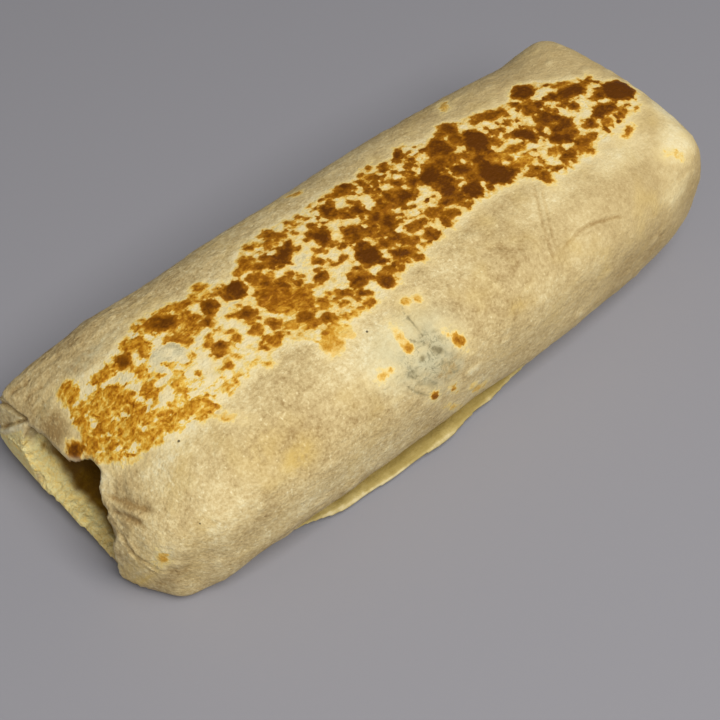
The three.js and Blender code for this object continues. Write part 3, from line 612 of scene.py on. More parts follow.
# the flap's torn, flaky inner face
above_flap = at[:, 2] - near_floor(at[:, 0], at[:, 1])
# the flap's face out to where the hood's shadow begins; beyond it the mouth's painted shade takes over
lit_flap = np.exp(-((above_flap / 1.3) ** 4)) * ramp(-90.4, -92.8, at[:, 0] + 0.8 * noise(at / 3.5, 24)) * ramp(-11.5, -5, at[:, 1]) * ramp(26.6, 24.5, at[:, 1]) * ramp(0.0, 0.25, nor[:, 2])
ridges = 0.3 - np.abs(noise(at / (2.6, 3.4, 2.6), 21))
relief += lit_flap * (1.0 * ridges + 0.7 * noise(at / 1.5, 22) + 0.5 * noise(at / 6, 23))
foot_limit = lerp(near_floor(at[:, 0], at[:, 1]), low_line - 2.5, ramp(25, 27, at[:, 1]))
# the outer face below the flap, later painted as bright as the lit flap: painted light
lit_outer_face = ramp(-93.5, -95.5, at[:, 0]) * ramp(-8, -4, at[:, 1]) * ramp(0.6, -0.4, at[:, 2] - foot_limit)

# ---- small blisters ----
rng = np.random.default_rng(11)
blister = np.zeros(n)
tops = rng.integers(0, n, 700)
for k in tops:
    if depth[k] > 0.8 or at[k, 2] < 3:
        continue
    r = rng.uniform(0.9, 2.4)
    high = rng.uniform(0.05, 0.2) * (r / 1.6)
    box = np.nonzero(np.abs(at[:, 0] - at[k, 0]) < r * 1.6)[0]
    box = box[np.abs(at[box, 1] - at[k, 1]) < r * 1.6]
    d = np.linalg.norm((at[box] - at[k]) * (0.75, 1, 1), axis=1) / r
    blister[box] = np.maximum(blister[box], high * np.clip(1 - d * d, 0, 1) ** 1.5)
relief += blister

# ---- the browned marks: a signed field in millimetres, and how dark each place may go ----
px, ps = at[:, 0], arc
field = np.full(n, -6.0)
weight = np.full(n, 1e-6)
tone = np.zeros(n)
clear = np.full(n, -6.0)
front_of = profile([(NEAR_X, 7), (-92, 4), (-89, 0.8), (-87, -3.2), (-84.5, -5.4), (-81, -8), (-77, -10.3), (-73, -11.8), (-68, -13.2), (-62, -13.5), (-55, -12.5), (-49, -12.6), (-43, -11.8), (-37, -12.5), (-32, -17), (-25, -16.5), (-19, -16.2), (-13, -15.5), (-7, -14.2), (-1, -13), (5, -12), (11, -10.2), (17, -10), (29, -9.2), (38, -9), (44, -11), (50, -14.5), (56, -15.5), (62, -15.5), (68, -13.8), (74, -12.8), (80, -12.5), (85, -11), (90, -8), (93, -5)])
back_of = profile([(NEAR_X, 7), (-92, 12), (-88, 19), (-84, 21.5), (-79, 18), (-73, 17), (-67, 17), (-61, 19.7), (-55, 19.7), (-49, 17.6), (-43, 18), (-37, 14), (-31, 19), (-25, 21.2), (-19, 22), (-13, 21), (-7, 20.7), (-1, 21.5), (5, 20), (11, 19), (17, 17.5), (23, 18), (29, 19), (35, 17), (41, 19), (47, 16), (53, 15.5), (59, 13.6), (65, 16), (71, 16.5), (77, 11.6), (83, 8), (89, 1), (93, -3)])
toast_of = profile([(NEAR_X, 0.44), (-72, 0.48), (-60, 0.6), (-45, 0.68), (-30, 0.7), (-15, 0.8), (0, 0.86), (30, 0.9), (50, 0.88), (70, 0.98), (90, 1.0)])
dice = np.random.default_rng(5)
SPECKS = []
while len(SPECKS) < 820:
    x, s = dice.uniform(-72, 92), dice.uniform(-18, 25)
    a = 0.55 + 1.25 * dice.uniform() ** 2
    b, turn, dark = a * dice.uniform(0.5, 0.9), dice.normal(-45, 25), dice.uniform(0.7, 1.05)
    if min(s - front_of(x), back_of(x) - s, 93 - x) > 0.8 and dice.uniform() < 0.55 + 0.45 * float(ramp(-60, 0, x)):
        SPECKS.append((x, s, a, b, turn, float(toast_of(x)) * dark))
order = np.argsort(px)
sorted_x = px[order]


def beside(x, r):
    """Vertices whose x is within r of x."""
    return order[np.searchsorted(sorted_x, x - r) : np.searchsorted(sorted_x, x + r)]


def toast(marks):
    for x, s, a, b, turn, dark in marks:
        c, q = math.cos(math.radians(turn)), math.sin(math.radians(turn))
        k = beside(x, 2.4 * a + 4)
        k = k[np.abs(ps[k] - s) < 2.4 * a + 4]
        u, v = (px[k] - x) * c + (ps[k] - s) * q, -(px[k] - x) * q + (ps[k] - s) * c
        far = np.hypot(u / a, v / b)
        signed = (1 - far) * min(a, b) * np.where(far > 1, 0.8, 1.0)
        # smooth union
        h = np.clip(0.5 + 0.5 * (signed - field[k]) / 0.5, 0, 1)
        field[k] = field[k] * (1 - h) + signed * h + 0.5 * h * (1 - h) * 0.5
        w = np.exp(-np.clip(far - 0.5, 0, None) ** 2 * 5) * (far < 3)
        weight[k] += w
        tone[k] += w * dark


toast(MARKS)
for x, s, a, b, turn in GAPS:
    c, q = math.cos(math.radians(turn)), math.sin(math.radians(turn))
    k = beside(x, a + 3)
    u, v = (px[k] - x) * c + (ps[k] - s) * q, -(px[k] - x) * q + (ps[k] - s) * c
    signed = (1 - np.hypot(u / (0.92 * a), v / (0.92 * b))) * min(a, b)
    field[k] = np.where(signed > -1.2, np.minimum(field[k], -0.15 - 0.85 * signed), field[k])
    clear[k] = np.maximum(clear[k], signed)
toast(SPECKS[:480])
field = np.where(clear > 0.3, np.minimum(field, -0.5 - 1.1 * np.clip(clear - 0.3, 0, 1.2)), field)
toast([q for q in SPECKS[480:] if q[2] < 1.0])
inside = np.minimum(ps - front_of(px), back_of(px) - ps)
near_limit = np.interp(ps, (-14, -6.2, 0.6, 2.9, 5.8, 8.9, 12.8, 15.4, 18.9, 23.9), (-80, -84, -88.4, -88.2, -87.6, -87.1, -87.1, -86.4, -85.3, -83.6))
inside = np.minimum(inside, np.minimum(px - near_limit, 94 - px))
level = toast_of(px)
spare = 0.02 * ramp(-3, 0.5, inside) + 1e-5
tone = (tone + spare * level) / (weight + spare)
thick_of = profile([(NEAR_X, 0.16), (-85, 0.16), (-73, 0.04), (-66, -0.07), (-61, -0.2), (-55, -0.1), (-43, -0.1), (-37, 0.02), (-31, 0.22), (-25, 0), (-16, -0.04), (-7, 0.12), (5, 0.09), (11, 0.04), (20, 0.09), (29, 0.06), (35, 0.17), (41, 0.08), (53, -0.02), (64, -0.04), (71, -0.22), (77, -0.12), (90, -0.08), (95, -0.5)])
speckle = -0.9 + 0.2 * ramp(-60, -20, px) + 0.14 * ramp(-10, 20, px)
base_field = np.where(inside > 0, speckle, speckle + inside * 0.8)
base_field -= np.clip(clear, 0, 1) * (0.3 + 0.9 * ramp(-40, -60, px))
field = np.maximum(field, base_field) + thick_of(px) * (inside > -1)
field = np.where(depth > 2.2, -6, field)
mottle = np.maximum(ramp(-48, -66, px), 0.7 * ramp(0.74, 0.64, tone)) * ramp(0.76, 0.56, tone) * ramp(-3, 0, inside)

halo = ramp(-3.2, 1.2, inside) * ramp(2.5, 1, depth)
own = np.zeros(n)  # cream rings round the marks that lie on their own
for x, s, a, b, turn, dark in MARKS:
    if s < -25 or x > 80 and s < -20:
        own = np.maximum(own, np.exp(-((np.hypot(px - x, ps - s) / (max(a, b) + 2.2)) ** 4)))
halo = np.maximum(halo, 0.35 * own * skin)

# faint yellow stains, and pale greyish floury patches
STAINS = [(83, -27.5, 2.2, 1.4, 0.5), (-93.7, -33.3, 2.4, 1.2, 0.8), (-54.5, -36, 5, 4, 0.8), (17, -38, 3, 2, 0.5), (-95, -33, 3, 4, 0.6), (-96, -26, 4, 5, 0.4), (-60, -30, 8, 5, 0.35), (92, -25, 2.5, 2, 0.4)]
PATCHES = [(-12.5, -36, 9, 7, 0.9), (-9.9, -42, 8, 5, 0.7), (-62, 5.5, 8, 4.5, 0.8), (-70, 4.5, 5, 3, 0.8), (-19.7, 7, 4, 3.4, 0.6), (-40.7, 5.8, 4.5, 2.5, 0.7), (-74.2, 9.5, 4.5, 2, 0.7), (-73, -2.5, 3, 1.6, 0.6), (-80, 22.5, 14, 2.5, 0.5)]
SMEARS = [(-9.6, -35.2, 2.6, 1.2, -40, 0.9), (-7.6, -31, 1.6, 0.6, -20, 0.5), (-14.3, -34.7, 1.1, 0.8, 0, 0.95), (-9.9, -38.6, 1.4, 0.9, 30, 0.6), (-6.1, -38, 1.6, 0.8, 40, 0.5), (-18.6, -36.4, 2.4, 1.2, 10, 0.55), (-12.2, -32.0, 1.3, 0.8, 0, 0.5), (-19.3, -41.5, 1.5, 0.7, -50, 0.55), (-3.6, -34.8, 1.4, 0.8, 30, 0.4), (-16.4, -38.3, 1.8, 0.8, 20, 0.4), (-8, -42.5, 3, 1.4, 20, 0.45)]
CRACKS = [
    ([(-10.7, -21.4), (-10.9, -24.3), (-11.3, -26.7), (-11.4, -28.8), (-11, -30.6), (-10.7, -31.4)], 0.34, 0.8),
    ([(-15.8, -29), (-13.7, -29.7), (-13.2, -31.2), (-11.7, -31.9), (-10.8, -33.4)], 0.3, 0.9),
    ([(-28.5, -35.2), (-26.3, -35.8), (-24.2, -35.1), (-21.6, -34.8)], 0.34, 0.5),
    ([(-21.6, -37.3), (-20.5, -40.1), (-19.1, -41.9), (-16.3, -44.6), (-13.9, -47.3)], 0.36, 0.75),
    ([(-19.9, -36.1), (-18.5, -38.4), (-17.2, -37.4), (-17.8, -35.6), (-19.9, -36.1)], 0.3, 0.6),
]
smear = np.zeros(n)
for x, s, a, b, turn, strength in SMEARS:
    c, q = math.cos(math.radians(turn)), math.sin(math.radians(turn))
    u, v = (px - x) * c + (ps - s) * q, -(px - x) * q + (ps - s) * c
    smear = np.maximum(smear, strength * np.exp(-(np.hypot(u / a, v / b) ** 2)))
for points, wide, strength in CRACKS:
    d, along = line_distance(smooth_line(points), np.stack([px, ps], -1) + 0.3 * np.stack([noise(at / 1.6, 51), noise(at / 1.6, 52)], -1))
    smear = np.maximum(smear, strength * np.exp(-((d / wide) ** 2)))
smear *= depth < 2
grey = np.zeros(n)
for x, s, a, b, strength in PATCHES:
    grey = np.maximum(grey, strength * np.exp(-(np.hypot((px - x) / a, (ps - s) / b) ** 4)))

# the free edge's lip under the roll; its colour is a painted shade, with a painted highlight along its outer edge
shaded_lip = ramp(-0.5, -1.3, depth) * ramp(8, 5, at[:, 2]) * ramp(-60, -54, px) * ramp(44, 34, px) * (at[:, 1] < -15)
# how deep a place lies inside the near mouth, where its colour is darkened as painted shade
cavity_shade = ramp(0.8, 2.4, depth) * (at[:, 0] < -60) * (1 - 0.8 * ramp(21, 25, at[:, 1]) * ramp(-86, -90, at[:, 0])) * (1 - 0.7 * ramp(-92.2, -94.2, at[:, 0]) * ramp(3, -3, at[:, 1]))
# the same inside the far end's hollow, painted as a lighter shade
hollow_shade = ramp(0.8, 3, depth) * (at[:, 0] > 60)

# places where the roll swells or draws in a little
PUSHES = [
    ((-93.5, 38, 20.5), 9, (-1.0, 1.0, 0.9)),
    ((-87.5, -28.5, 1), 5, (-0.5, -0.9, 0)),
    ((100, -24, 11), 11, (-1.6, 0.9, 0.2)),
    ((74, 33, 39), 20, (0, -0.8, -0.6)),
    ((-42, 33, 40), 24, (0, -0.6, -0.5)),
    ((-85, 34, 34), 14, (0, -0.5, -0.4)),
]
browned = np.clip(field, -0.5, 1.0) + 0.5
relief += 0.07 * browned * free
co = co + nor * (relief * np.where(at[:, 2] > 0.25, 1, 0))[:, None]
for centre, r, shift in PUSHES:
    pull = np.exp(-((np.linalg.norm(at - centre, axis=1) / r) ** 2))
    co += pull[:, None] * (np.array(shift) * np.where(at[:, 2:3] > 0.25, 1, (1, 1, 0)))
# the near end curls up clear of the plate
rise = 3.6 * ramp(-89, -96.5, at[:, 0]) * ramp(-13, -7, at[:, 1]) * ramp(44, 38, at[:, 1])
co[:, 2] += rise * np.clip(1 - at[:, 2] / 12, 0, 1)
co += 1.6 * ramp(-79, -98, at[:, :1]) * (-0.244, -0.661, 1)
co[:, 2] = np.maximum(co[:, 2], 0)
nor = normals()
# curvature of the finished surface: its crests are painted lighter and its hollows darker, a painted highlight and
# painted shade
crest_light_hollow_shade = np.clip(bend(1), -3, 3) / 3
me.polygons.foreach_set("use_smooth", np.ones(len(me.polygons), bool))


def attribute(name, values):
    a = me.attributes.new(name, "FLOAT", "POINT")
    a.data.foreach_set("value", np.ascontiguousarray(values, dtype=np.float32))


attribute("browning", field)
attribute("char", tone)
attribute("mottle", mottle)
attribute("halo", halo)
attribute("lone", own * skin)
attribute("grey", grey)
attribute("smear", smear)
attribute("ash", 0.9 * np.exp(-(np.hypot((px + 15) / 14, (ps + 31) / 9) ** 4)) * (depth < 2) * (ps < -19))
attribute("crease_shade", crease_shade)
attribute("shaded_lip", shaded_lip)
attribute("lip_edge_highlight", shaded_lip * ramp(0.55, 0.1, at[:, 1] - edge_line(at[:, 0]) - 0.35) * ramp(0.5, 1.6, at[:, 2]))
attribute("cavity_shade", np.maximum(cavity_shade, 0.45 * hollow_shade))
# brown spots on the flap
spots = [((-92.2, 23.8, 13.4), 0.7), ((-90.7, 7, 5.9), 1.0), ((-91.4, 12.6, 4.6), 1.1)]
flap_spots_and_shade = np.zeros(n)
for centre, r in spots:
    flap_spots_and_shade = np.maximum(flap_spots_and_shade, np.exp(-((np.linalg.norm((at - centre) * (1, 1, 0.6), axis=1) / r) ** 2)))
# painted shade over the flap's front part, where the side fold shades it
flap_spots_and_shade = np.maximum(flap_spots_and_shade, 0.42 * ramp(4, -4, at[:, 1]))
attribute("flap_spots_and_shade", flap_spots_and_shade)
attribute("lit_flap", np.maximum(lit_flap, 0.9 * lit_outer_face))
# painted highlight: a pale line along the near hood's rim
along_rim = np.linspace(26, -5, 60)
rim_x = NEAR_RIM(along_rim)
rim_gap, rim_along = line_distance(np.stack([rim_x, along_rim, upper(rim_x, along_rim)], -1), at)
attribute("hood_rim_highlight", np.exp(-((rim_gap / 0.75) ** 2)) * (0.35 + 0.65 * ramp(0.42, 0.5, rim_along) * ramp(0.76, 0.66, rim_along)))
attribute("blister", blister / 0.25)
attribute("underside", ramp(1.2, 0.2, at[:, 2]))
attribute("back", backness * streak_back)
# painted highlight on the fold rims, away from the browned marks
attribute("rim", rim * (field < 0.4))
attribute("crest_light_hollow_shade", crest_light_hollow_shade)
# lighter places: the strip under the hood's back corner is brightened as painted light; the listed ellipses are partly
# paler tortilla, partly painted light
pale_and_painted_light_shade = 0.9 * ramp(-93, -94.5, at[:, 0]) * ramp(25.5, 27, at[:, 1]) * ramp(23, 20.5, at[:, 2]) * (1 - 0.9 * gusset)
for x, s, a, b, strength in ((90, -25, 8, 6, 1.2), (95, -15, 5, 8, 1.0), (71, -20, 12, 5, 0.9), (80, -38, 6, 3, 0.6), (-26, -24, 16, 6, 0.45), (-66, -15, 12, 4, 0.3), (-14, -26, 9, 5, 0.35), (44, -19, 14, 4, 0.5), (-50, -52, 20, 5, 0.25), (-91, -25, 5, 6, 0.7), (-74, -38, 8, 5, 0.4), (-62, -52, 14, 5, 0.5), (-87, -4, 5, 4, 0.6), (-77, -14, 9, 4, 0.7), (0, -21, 18, 4, 0.4)):
    pale_and_painted_light_shade = np.maximum(pale_and_painted_light_shade, strength * np.exp(-(np.hypot((px - x) / a, (ps - s) / b) ** 3)) * (depth < 3))
# painted shade: the hood towards its rim, the side fold of the near mouth, the back band by the hood, and the lower
# sides darker towards the plate
painted_shade_tan = 1.15 * np.exp(-(np.hypot((at[:, 0] + 91.3) / 4.6, (at[:, 1] - 13) / 8.5) ** 4)) * ramp(19, 22, at[:, 2])
for x, s, a, b, strength in ((-94, -8, 1.6, 5, 0.5), (-89, -14.5, 3.5, 5, 0.2), (-78, 34, 16, 12, 0.28), (68, -52, 14, 7, 0.45), (-90, -41, 6, 5, 0.4), (-56, -34, 10, 5, 0.15), (20, -28, 16, 9, 0.12), (62, -34, 14, 8, 0.12)):
    painted_shade_tan = np.maximum(painted_shade_tan, strength * np.exp(-(np.hypot((px - x) / a, (ps - s) / b) ** 3)) * (depth < 3))
pale_and_painted_light_shade -= painted_shade_tan
attribute("pale_and_painted_light_shade", pale_and_painted_light_shade)
stain = np.zeros(n)
for x, s, a, b, strength in STAINS:
    stain = np.maximum(stain, strength * np.exp(-(np.hypot((px - x) / a, (ps - s) / b) ** 2)) * (depth < 3))
attribute("stain", stain)

# the flat underside needs few faces
if len(me.polygons) > 98000:
    thin = burrito.modifiers.new("thin", "DECIMATE")
    thin.ratio = 97500 / len(me.polygons)
    graph = bpy.context.evaluated_depsgraph_get()
    me = bpy.data.meshes.new_from_object(burrito.evaluated_get(graph), preserve_all_data_layers=True, depsgraph=graph)
    burrito.modifiers.clear()
    burrito.data = me
    me.polygons.foreach_set("use_smooth", np.ones(len(me.polygons), bool))

# ---------------------------------------------------------------------------------------------------------------------
# Looks: one toasted flour tortilla
# ---------------------------------------------------------------------------------------------------------------------
mat = bpy.data.materials.new("tortilla")
mat.use_nodes = True
tree = mat.node_tree
tree.nodes.clear()


def node(kind, **settings):
    made = tree.nodes.new(kind)
    for key, value in settings.items():
        setattr(made, key, value)
    return made


def put(socket, value):
    if isinstance(value, bpy.types.NodeSocket):
        tree.links.new(value, socket)
    elif value is not None:
        socket.default_value = value


def calc(operation, a, b=None, c=None, clamp=False):
    m = node("ShaderNodeMath", operation=operation, use_clamp=clamp)
    put(m.inputs[0], a)
    put(m.inputs[1], b)
    put(m.inputs[2], c)
    return m.outputs[0]


def add(a, b):
    return calc("ADD", a, b)


def mul(a, b):
    return calc("MULTIPLY", a, b)


def span(value, a, b, lo=0.0, hi=1.0, smooth=True):
    m = node("ShaderNodeMapRange", interpolation_type="SMOOTHSTEP" if smooth else "LINEAR")
    for socket, v in zip(m.inputs, (value, a, b, lo, hi)):
        put(socket, v)
    return m.outputs[0]


def read(name):
    return node("ShaderNodeAttribute", attribute_name=name, attribute_type="GEOMETRY").outputs["Fac"]


place = node("ShaderNodeVectorMath", operation="SCALE")
put(place.inputs[0], node("ShaderNodeTexCoord").outputs["Object"])
place.inputs["Scale"].default_value = 1000
place = place.outputs[0]


def grain(size, detail=2.0, rough=0.5, offset=0.0, stretch=None, distortion=0.0):
    """Noise of one size in millimetres, from about -1 to 1."""
    m = node("ShaderNodeMapping")
    put(m.inputs["Vector"], place)
    m.inputs["Location"].default_value = (offset, offset * 1.7, offset * 0.6)
    m.inputs["Scale"].default_value = stretch or (1, 1, 1)
    t = node("ShaderNodeTexNoise")
    put(t.inputs["Vector"], m.outputs[0])
    t.inputs["Scale"].default_value = 1 / size
    t.inputs["Detail"].default_value = detail
    t.inputs["Roughness"].default_value = rough
    t.inputs["Distortion"].default_value = distortion
    return calc("MULTIPLY_ADD", t.outputs["Fac"], 4.0, -2.0)


def srgb(r, g, b):
    return tuple((c / 255 / 12.92) if c / 255 <= 0.04045 else ((c / 255 + 0.055) / 1.055) ** 2.4 for c in (r, g, b)) + (1,)


def colours(value, stops):
    m = node("ShaderNodeValToRGB")
    put(m.inputs[0], value)
    e = m.color_ramp.elements
    while len(e) < len(stops):
        e.new(0.5)
    for stop, (position, colour) in zip(e, stops):
        stop.position, stop.color = position, srgb(*colour)
    return m.outputs[0]


def blend(amount, a, b, kind="MIX"):
    m = node("ShaderNodeMix", data_type="RGBA", blend_type=kind)
    put(m.inputs["Factor"], amount)
    for name, v in (("A", a), ("B", b)):
        s = next(q for q in m.inputs if q.name == name and q.type == "RGBA")
        put(s, srgb(*v) if isinstance(v, tuple) and len(v) == 3 else v)
    return next(q for q in m.outputs if q.type == "RGBA")


wide, mid, small, tiny = grain(17, 2, offset=3), grain(6, 3, offset=11), grain(2.3, 3, 0.6, offset=23), grain(0.8, 2, 0.6, offset=31)
char, mottle_, halo_, grey_ = read("char"), read("mottle"), read("halo"), read("grey")

# plain tortilla, tan to cream, with painted highlights and painted shade added into its shade value
along = node("ShaderNodeSeparateXYZ")
put(along.inputs[0], place)
sharp = span(along.outputs["X"], -20, 85, 1.0, 0.4)
shade = add(mul(add(wide, mul(grain(26, 2, offset=5), 0.8)), 0.14), mul(mid, 0.06))
shade = add(shade, mul(mul(small, 0.23), sharp))
shade = add(shade, mul(mul(tiny, 0.26), sharp))
flecks = span(grain(0.75, 2, 0.6, offset=37, stretch=(1, 0.6, 0.7)), 0.35, 1.1)
shade = add(shade, mul(mul(flecks, 0.45), sharp))
# painted highlight on fine crests, painted shade in fine hollows
shade = add(shade, mul(read("crest_light_hollow_shade"), 0.2))
# painted highlight on the fold rims, and the painted light and shade of the pale and tan places
shade = add(add(shade, mul(read("rim"), 0.4)), mul(read("pale_and_painted_light_shade"), 0.4))
shade = add(add(shade, 0.42), mul(halo_, 0.56))
shade = add(shade, mul(read("blister"), 0.18))
# painted shade in the creases
shade = add(shade, mul(read("crease_shade"), -0.35))
shade = add(shade, mul(read("back"), 0.10))
body = colours(shade, [(0.0, (168, 138, 88)), (0.25, (196, 170, 118)), (0.5, (217, 193, 139)), (0.75, (234, 214, 162)), (1.0, (246, 232, 188))])
warm = grain(13, 2, offset=47)
body = blend(span(warm, 0.1, 1.0, 0, 0.35), body, (222, 192, 118))
body = blend(mul(read("stain"), span(add(small, mid), -1.2, 0.6, 0.3, 0.9)), body, (222, 186, 92))
ash = mul(read("ash"), span(add(wide, mul(small, 0.4)), -1.6, 0.2, 0.35, 1.0))
body = blend(mul(ash, 0.75), body, (217, 209, 168))
flour = calc("MULTIPLY", grey_, span(add(mid, mul(small, 0.6)), -0.9, 0.5), clamp=True)
body = blend(mul(flour, 0.85), body, (203, 196, 160))
inside_flour = mul(halo_, span(add(grain(5, 2, offset=59), mul(small, 0.4)), 0.15, 0.9))
body = blend(mul(inside_flour, 0.55), body, (224, 218, 188))
pits = span(grain(1.3, 2, 0.55, offset=71), 0.75, 1.25)
body = blend(mul(mul(pits, add(mul(grey_, 0.5), 0.12)), 1.0), body, (150, 140, 112))
veins = span(calc("ABSOLUTE", grain(4.5, 4, 0.62, offset=173, distortion=1.0)), 0.10, 0.0)
veins = mul(veins, span(grain(7, 2, offset=177), -0.7, 0.3))
body = blend(mul(mul(veins, grey_), 0.7), body, (112, 106, 74))
blotch = mul(span(add(grain(3.4, 3, 0.6, offset=175), mul(tiny, 0.25)), -0.05, 0.9), grey_)
body = blend(mul(blotch, 0.85), body, (136, 129, 97))
dots = mul(span(grain(0.9, 2, 0.6, offset=179), 0.35, 0.9), span(grey_, 0.3, 0.9))
body = blend(mul(dots, 0.45), body, (116, 108, 78))
sooty = span(add(add(mul(read("smear"), 1.6), mul(small, 0.3)), mul(tiny, 0.2)), 0.2, 1.5)
body = blend(mul(mul(sooty, span(read("smear"), 0.0, 0.3)), 0.85), body, (118, 106, 70))

# browning: crisp islands, and a broken golden field at the near end
outline = add(mul(grain(3.4, 2, 0.5, offset=83), 0.46), mul(grain(1.7, 2, 0.5, offset=97), 0.44))
outline = add(outline, mul(grain(0.85, 2, 0.5, offset=101), 0.08))
reach = add(add(read("browning"), outline), 0.22)
uneven = add(mul(grain(2.4, 3, 0.6, offset=139, distortion=0.5), 0.6), mul(grain(0.9, 3, 0.6, offset=149), 0.5))
limit = add(mul(char, 0.985), mul(uneven, 0.27))
core = add(mul(span(reach, -0.32, 0.3), 0.68), mul(span(add(reach, mul(grain(1.5, 2, 0.6, offset=153), 0.45)), 0.15, 1.5), 0.38))
islands = mul(core, limit)
islands = add(islands, mul(mul(span(reach, -0.85, -0.2), 0.1), calc("MULTIPLY_ADD", read("lone"), -0.5, 1.0, clamp=True)))
amber = mul(span(add(reach, mul(grain(1.2, 2, 0.6, offset=157), 0.4)), -0.95, 0.05), calc("MULTIPLY_ADD", read("lone"), -0.12, 0.2))
islands = calc("MAXIMUM", islands, amber)
torn = add(calc("MINIMUM", reach, 0.55), mul(grain(1.9, 3, 0.6, offset=133, distortion=0.6, stretch=(0.62, 1, 1)), 0.95))
torn = add(torn, mul(grain(0.8, 2, 0.6, offset=137), 0.2))
broken = add(mul(grain(3.0, 3, 0.55, offset=113, distortion=0.8), 0.2), mul(grain(1.1, 2, 0.6, offset=127), 0.15))
wisp = span(calc("ABSOLUTE", grain(5.0, 2, 0.5, offset=131, distortion=0.5, stretch=(0.6, 1, 1))), 0.16, 0.03)
broken = calc("SUBTRACT", broken, mul(wisp, 0.12))
golden = mul(span(torn, -0.62, 0.4), add(add(mul(char, 0.9), 0.05), mul(broken, 1.25)))
brown = calc("MAXIMUM", add(mul(islands, calc("SUBTRACT", 1.0, mottle_)), mul(golden, mottle_)), 0.0)
toast = colours(brown, [(0.0, (244, 227, 164)), (0.12, (246, 217, 140)), (0.25, (234, 190, 96)), (0.38, (214, 157, 52)), (0.5, (190, 129, 32)), (0.63, (160, 99, 8)), (0.79, (132, 77, 0)), (1.0, (101, 54, 0))])
near_brown = span(reach, -2.4, -0.5)
near_brown = mul(near_brown, calc("MULTIPLY_ADD", read("lone"), -0.75, 1.0, clamp=True))
body = blend(mul(near_brown, 0.45), body, (246, 221, 158))
toast = blend(mul(mottle_, 0.9), toast, blend(1.0, toast, (255, 246, 190), "MULTIPLY"))
skin_colour = blend(span(brown, 0.0, 0.12), body, toast)

# painted shade inside the folded ends, the flap with its painted light, and the free edge along the seam in painted
# shade
# painted shade: dark olive-brown for the inside of the mouths
inner_shade = colours(add(add(mul(mid, 0.2), mul(small, 0.22)), 0.5), [(0.0, (70, 42, 0)), (0.45, (106, 72, 0)), (1.0, (150, 112, 18))])
skin_colour = blend(read("cavity_shade"), skin_colour, inner_shade)
# the inner face's own paler cream, brightened further as painted light where the flap is lit
lit_flap_colour = colours(add(add(mul(grain(2.0, 3, 0.65, offset=163, distortion=0.6), 0.42), mul(tiny, 0.22)), 0.78), [(0.0, (212, 164, 70)), (0.35, (255, 218, 122)), (1.0, (255, 240, 172))])
# the flap's brown spots, and painted shade towards the side fold
lit_flap_colour = blend(mul(read("flap_spots_and_shade"), 0.75), lit_flap_colour, (150, 104, 36))
skin_colour = blend(read("lit_flap"), skin_colour, lit_flap_colour)
# painted highlight: a pale colour on the fold rims outside the mouths
fold_edge_highlight = blend(mul(read("rim"), 0.5), skin_colour, (240, 226, 182))
skin_colour = blend(span(read("cavity_shade"), 0.8, 0.3), skin_colour, fold_edge_highlight)
# painted highlight along the hood's rim
skin_colour = blend(mul(read("hood_rim_highlight"), 0.9), skin_colour, (242, 227, 184))
# painted shade: olive for the lip under the roll, paler at its outer edge as a painted highlight
lip_shade_colour = colours(add(add(add(mul(mid, 0.2), mul(small, 0.16)), 0.42), mul(read("lip_edge_highlight"), 0.42)), [(0.0, (148, 126, 62)), (0.45, (174, 153, 88)), (0.75, (196, 176, 112)), (1.0, (224, 208, 156))])
skin_colour = blend(read("shaded_lip"), skin_colour, lip_shade_colour)

# a few tiny dark specks
specks = None
for spot, size in (((-87.8, 32.0, 28.7), 0.5), ((-74.4, -13.9, 39.4), 0.38), ((-22.0, -21.3, 44.6), 0.42), ((-41.2, 13.6, 45.1), 0.36), ((-82.3, -21.3, 33.9), 0.3), ((-81.6, -30.4, 30.4), 0.3), ((-87.6, -29.6, 8.0), 0.4)):
    gap = node("ShaderNodeVectorMath", operation="DISTANCE")
    put(gap.inputs[0], place)
    gap.inputs[1].default_value = tuple(np.array(spot) + PLACE)
    near = span(add(gap.outputs["Value"], mul(tiny, 0.08)), size * 1.15, size * 0.6)
    specks = near if specks is None else calc("MAXIMUM", specks, near)
skin_colour = blend(mul(specks, 0.85), skin_colour, (52, 40, 26))

# fine relief
bump = node("ShaderNodeBump")
bump.inputs["Distance"].default_value = 0.00035
bump.inputs["Strength"].default_value = 0.6
height = add(mul(grain(1.5, 3, 0.6, offset=181), 0.45), mul(grain(0.6, 2, 0.6, offset=191), 0.25))
height = add(height, mul(span(brown, 0.1, 0.6), 0.25))
height = add(height, mul(mul(grain(1.3, 3, 0.65, offset=197), read("lit_flap")), 1.7))
put(bump.inputs["Height"], height)

shader = node("ShaderNodeBsdfPrincipled")
put(shader.inputs["Base Color"], skin_colour)
put(shader.inputs["Normal"], bump.outputs[0])
put(shader.inputs["Roughness"], calc("MULTIPLY_ADD", span(add(mid, mul(small, 0.5)), -1, 1.3), -0.18, 0.62))
shader.inputs["Specular IOR Level"].default_value = 0.16
shader.inputs["Subsurface Weight"].default_value = 0.0
out = node("ShaderNodeOutputMaterial")
put(out.inputs["Surface"], shader.outputs[0])
me.materials.clear()
me.materials.append(mat)

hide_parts("tortilla_roll")
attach(burrito, next(iter(frame["bodies"])))

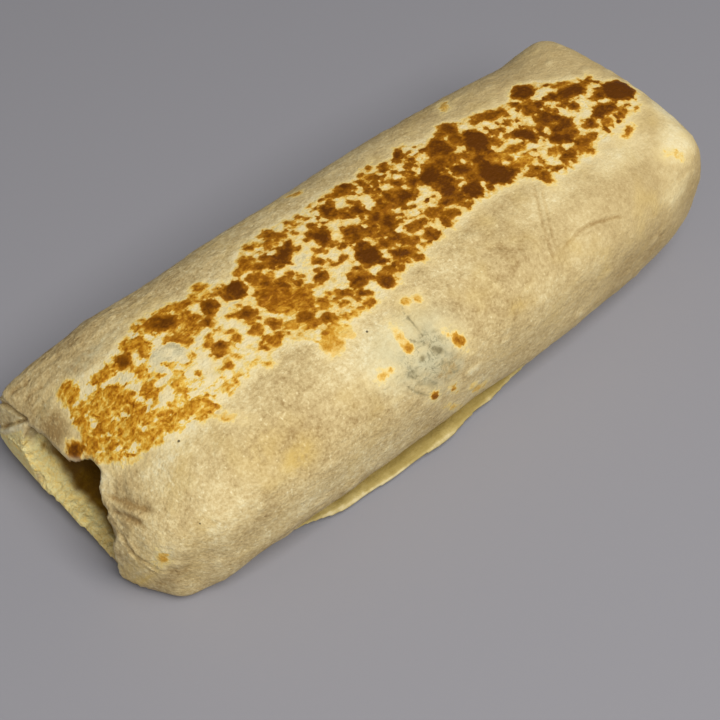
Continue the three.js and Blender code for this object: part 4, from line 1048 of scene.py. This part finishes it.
# ---------------------------------------------------------------------------------------------------------------------
# Floor, light and camera
# ---------------------------------------------------------------------------------------------------------------------
bpy.ops.mesh.primitive_plane_add(size=6, location=(0, 0, 0))
floor = bpy.context.object
floor.name = "floor"
fm = bpy.data.materials.new("floor")
fm.use_nodes = True
fm.node_tree.nodes["Principled BSDF"].inputs["Base Color"].default_value = srgb(152, 151, 158)
fm.node_tree.nodes["Principled BSDF"].inputs["Roughness"].default_value = 0.9
floor.data.materials.append(fm)

world = bpy.data.worlds.new("world")
bpy.context.scene.world = world
world.use_nodes = True
world.node_tree.nodes["Background"].inputs["Color"].default_value = (0.98, 0.99, 1.0, 1)
world.node_tree.nodes["Background"].inputs["Strength"].default_value = 0.11


def area(name, place, aim, size, power, colour=(1, 1, 1)):
    light = bpy.data.lights.new(name, "AREA")
    light.energy, light.size, light.color = power, size, colour
    ob = bpy.data.objects.new(name, light)
    ob.location = place
    ob.rotation_euler = (Vector(aim) - Vector(place)).to_track_quat("-Z", "Y").to_euler()
    bpy.context.scene.collection.objects.link(ob)
    return ob


area("key", (-0.01, -0.55, 0.96), (0, 0, 0.02), 0.8, 12.3, (1.0, 0.985, 0.95))
area("fill", (-0.54, -0.19, 0.16), (-0.09, 0, 0.02), 0.25, 0.28, (1.0, 0.985, 0.95))

AZ, EL, DISTANCE, FOCAL_PX = math.radians(-41.09), math.radians(52.01), 0.380, 1473.6
AIM = Vector((-18.94 + PLACE[0], -15.25 + PLACE[1], 25.0)) / 1000
back_to = Vector((math.sin(AZ) * math.cos(EL), -math.cos(AZ) * math.cos(EL), math.sin(EL)))
right = Vector((math.cos(AZ), math.sin(AZ), 0))
cam_data = bpy.data.cameras.new("camera")
cam = bpy.data.objects.new("camera", cam_data)
bpy.context.scene.collection.objects.link(cam)
cam_data.sensor_width = 36
cam_data.lens = 36 * FOCAL_PX / 720
cam_data.clip_start = 0.01
cam.location = AIM + back_to * DISTANCE
cam.rotation_mode = "QUATERNION"
cam.rotation_quaternion = Matrix((right, back_to.cross(right), back_to)).transposed().to_quaternion()
bpy.context.scene.camera = cam
bpy.context.scene.view_settings.view_transform = "Standard"

bpy.context.view_layer.update()
print("tris", sum(len(p.vertices) - 2 for p in me.polygons), "verts", n)
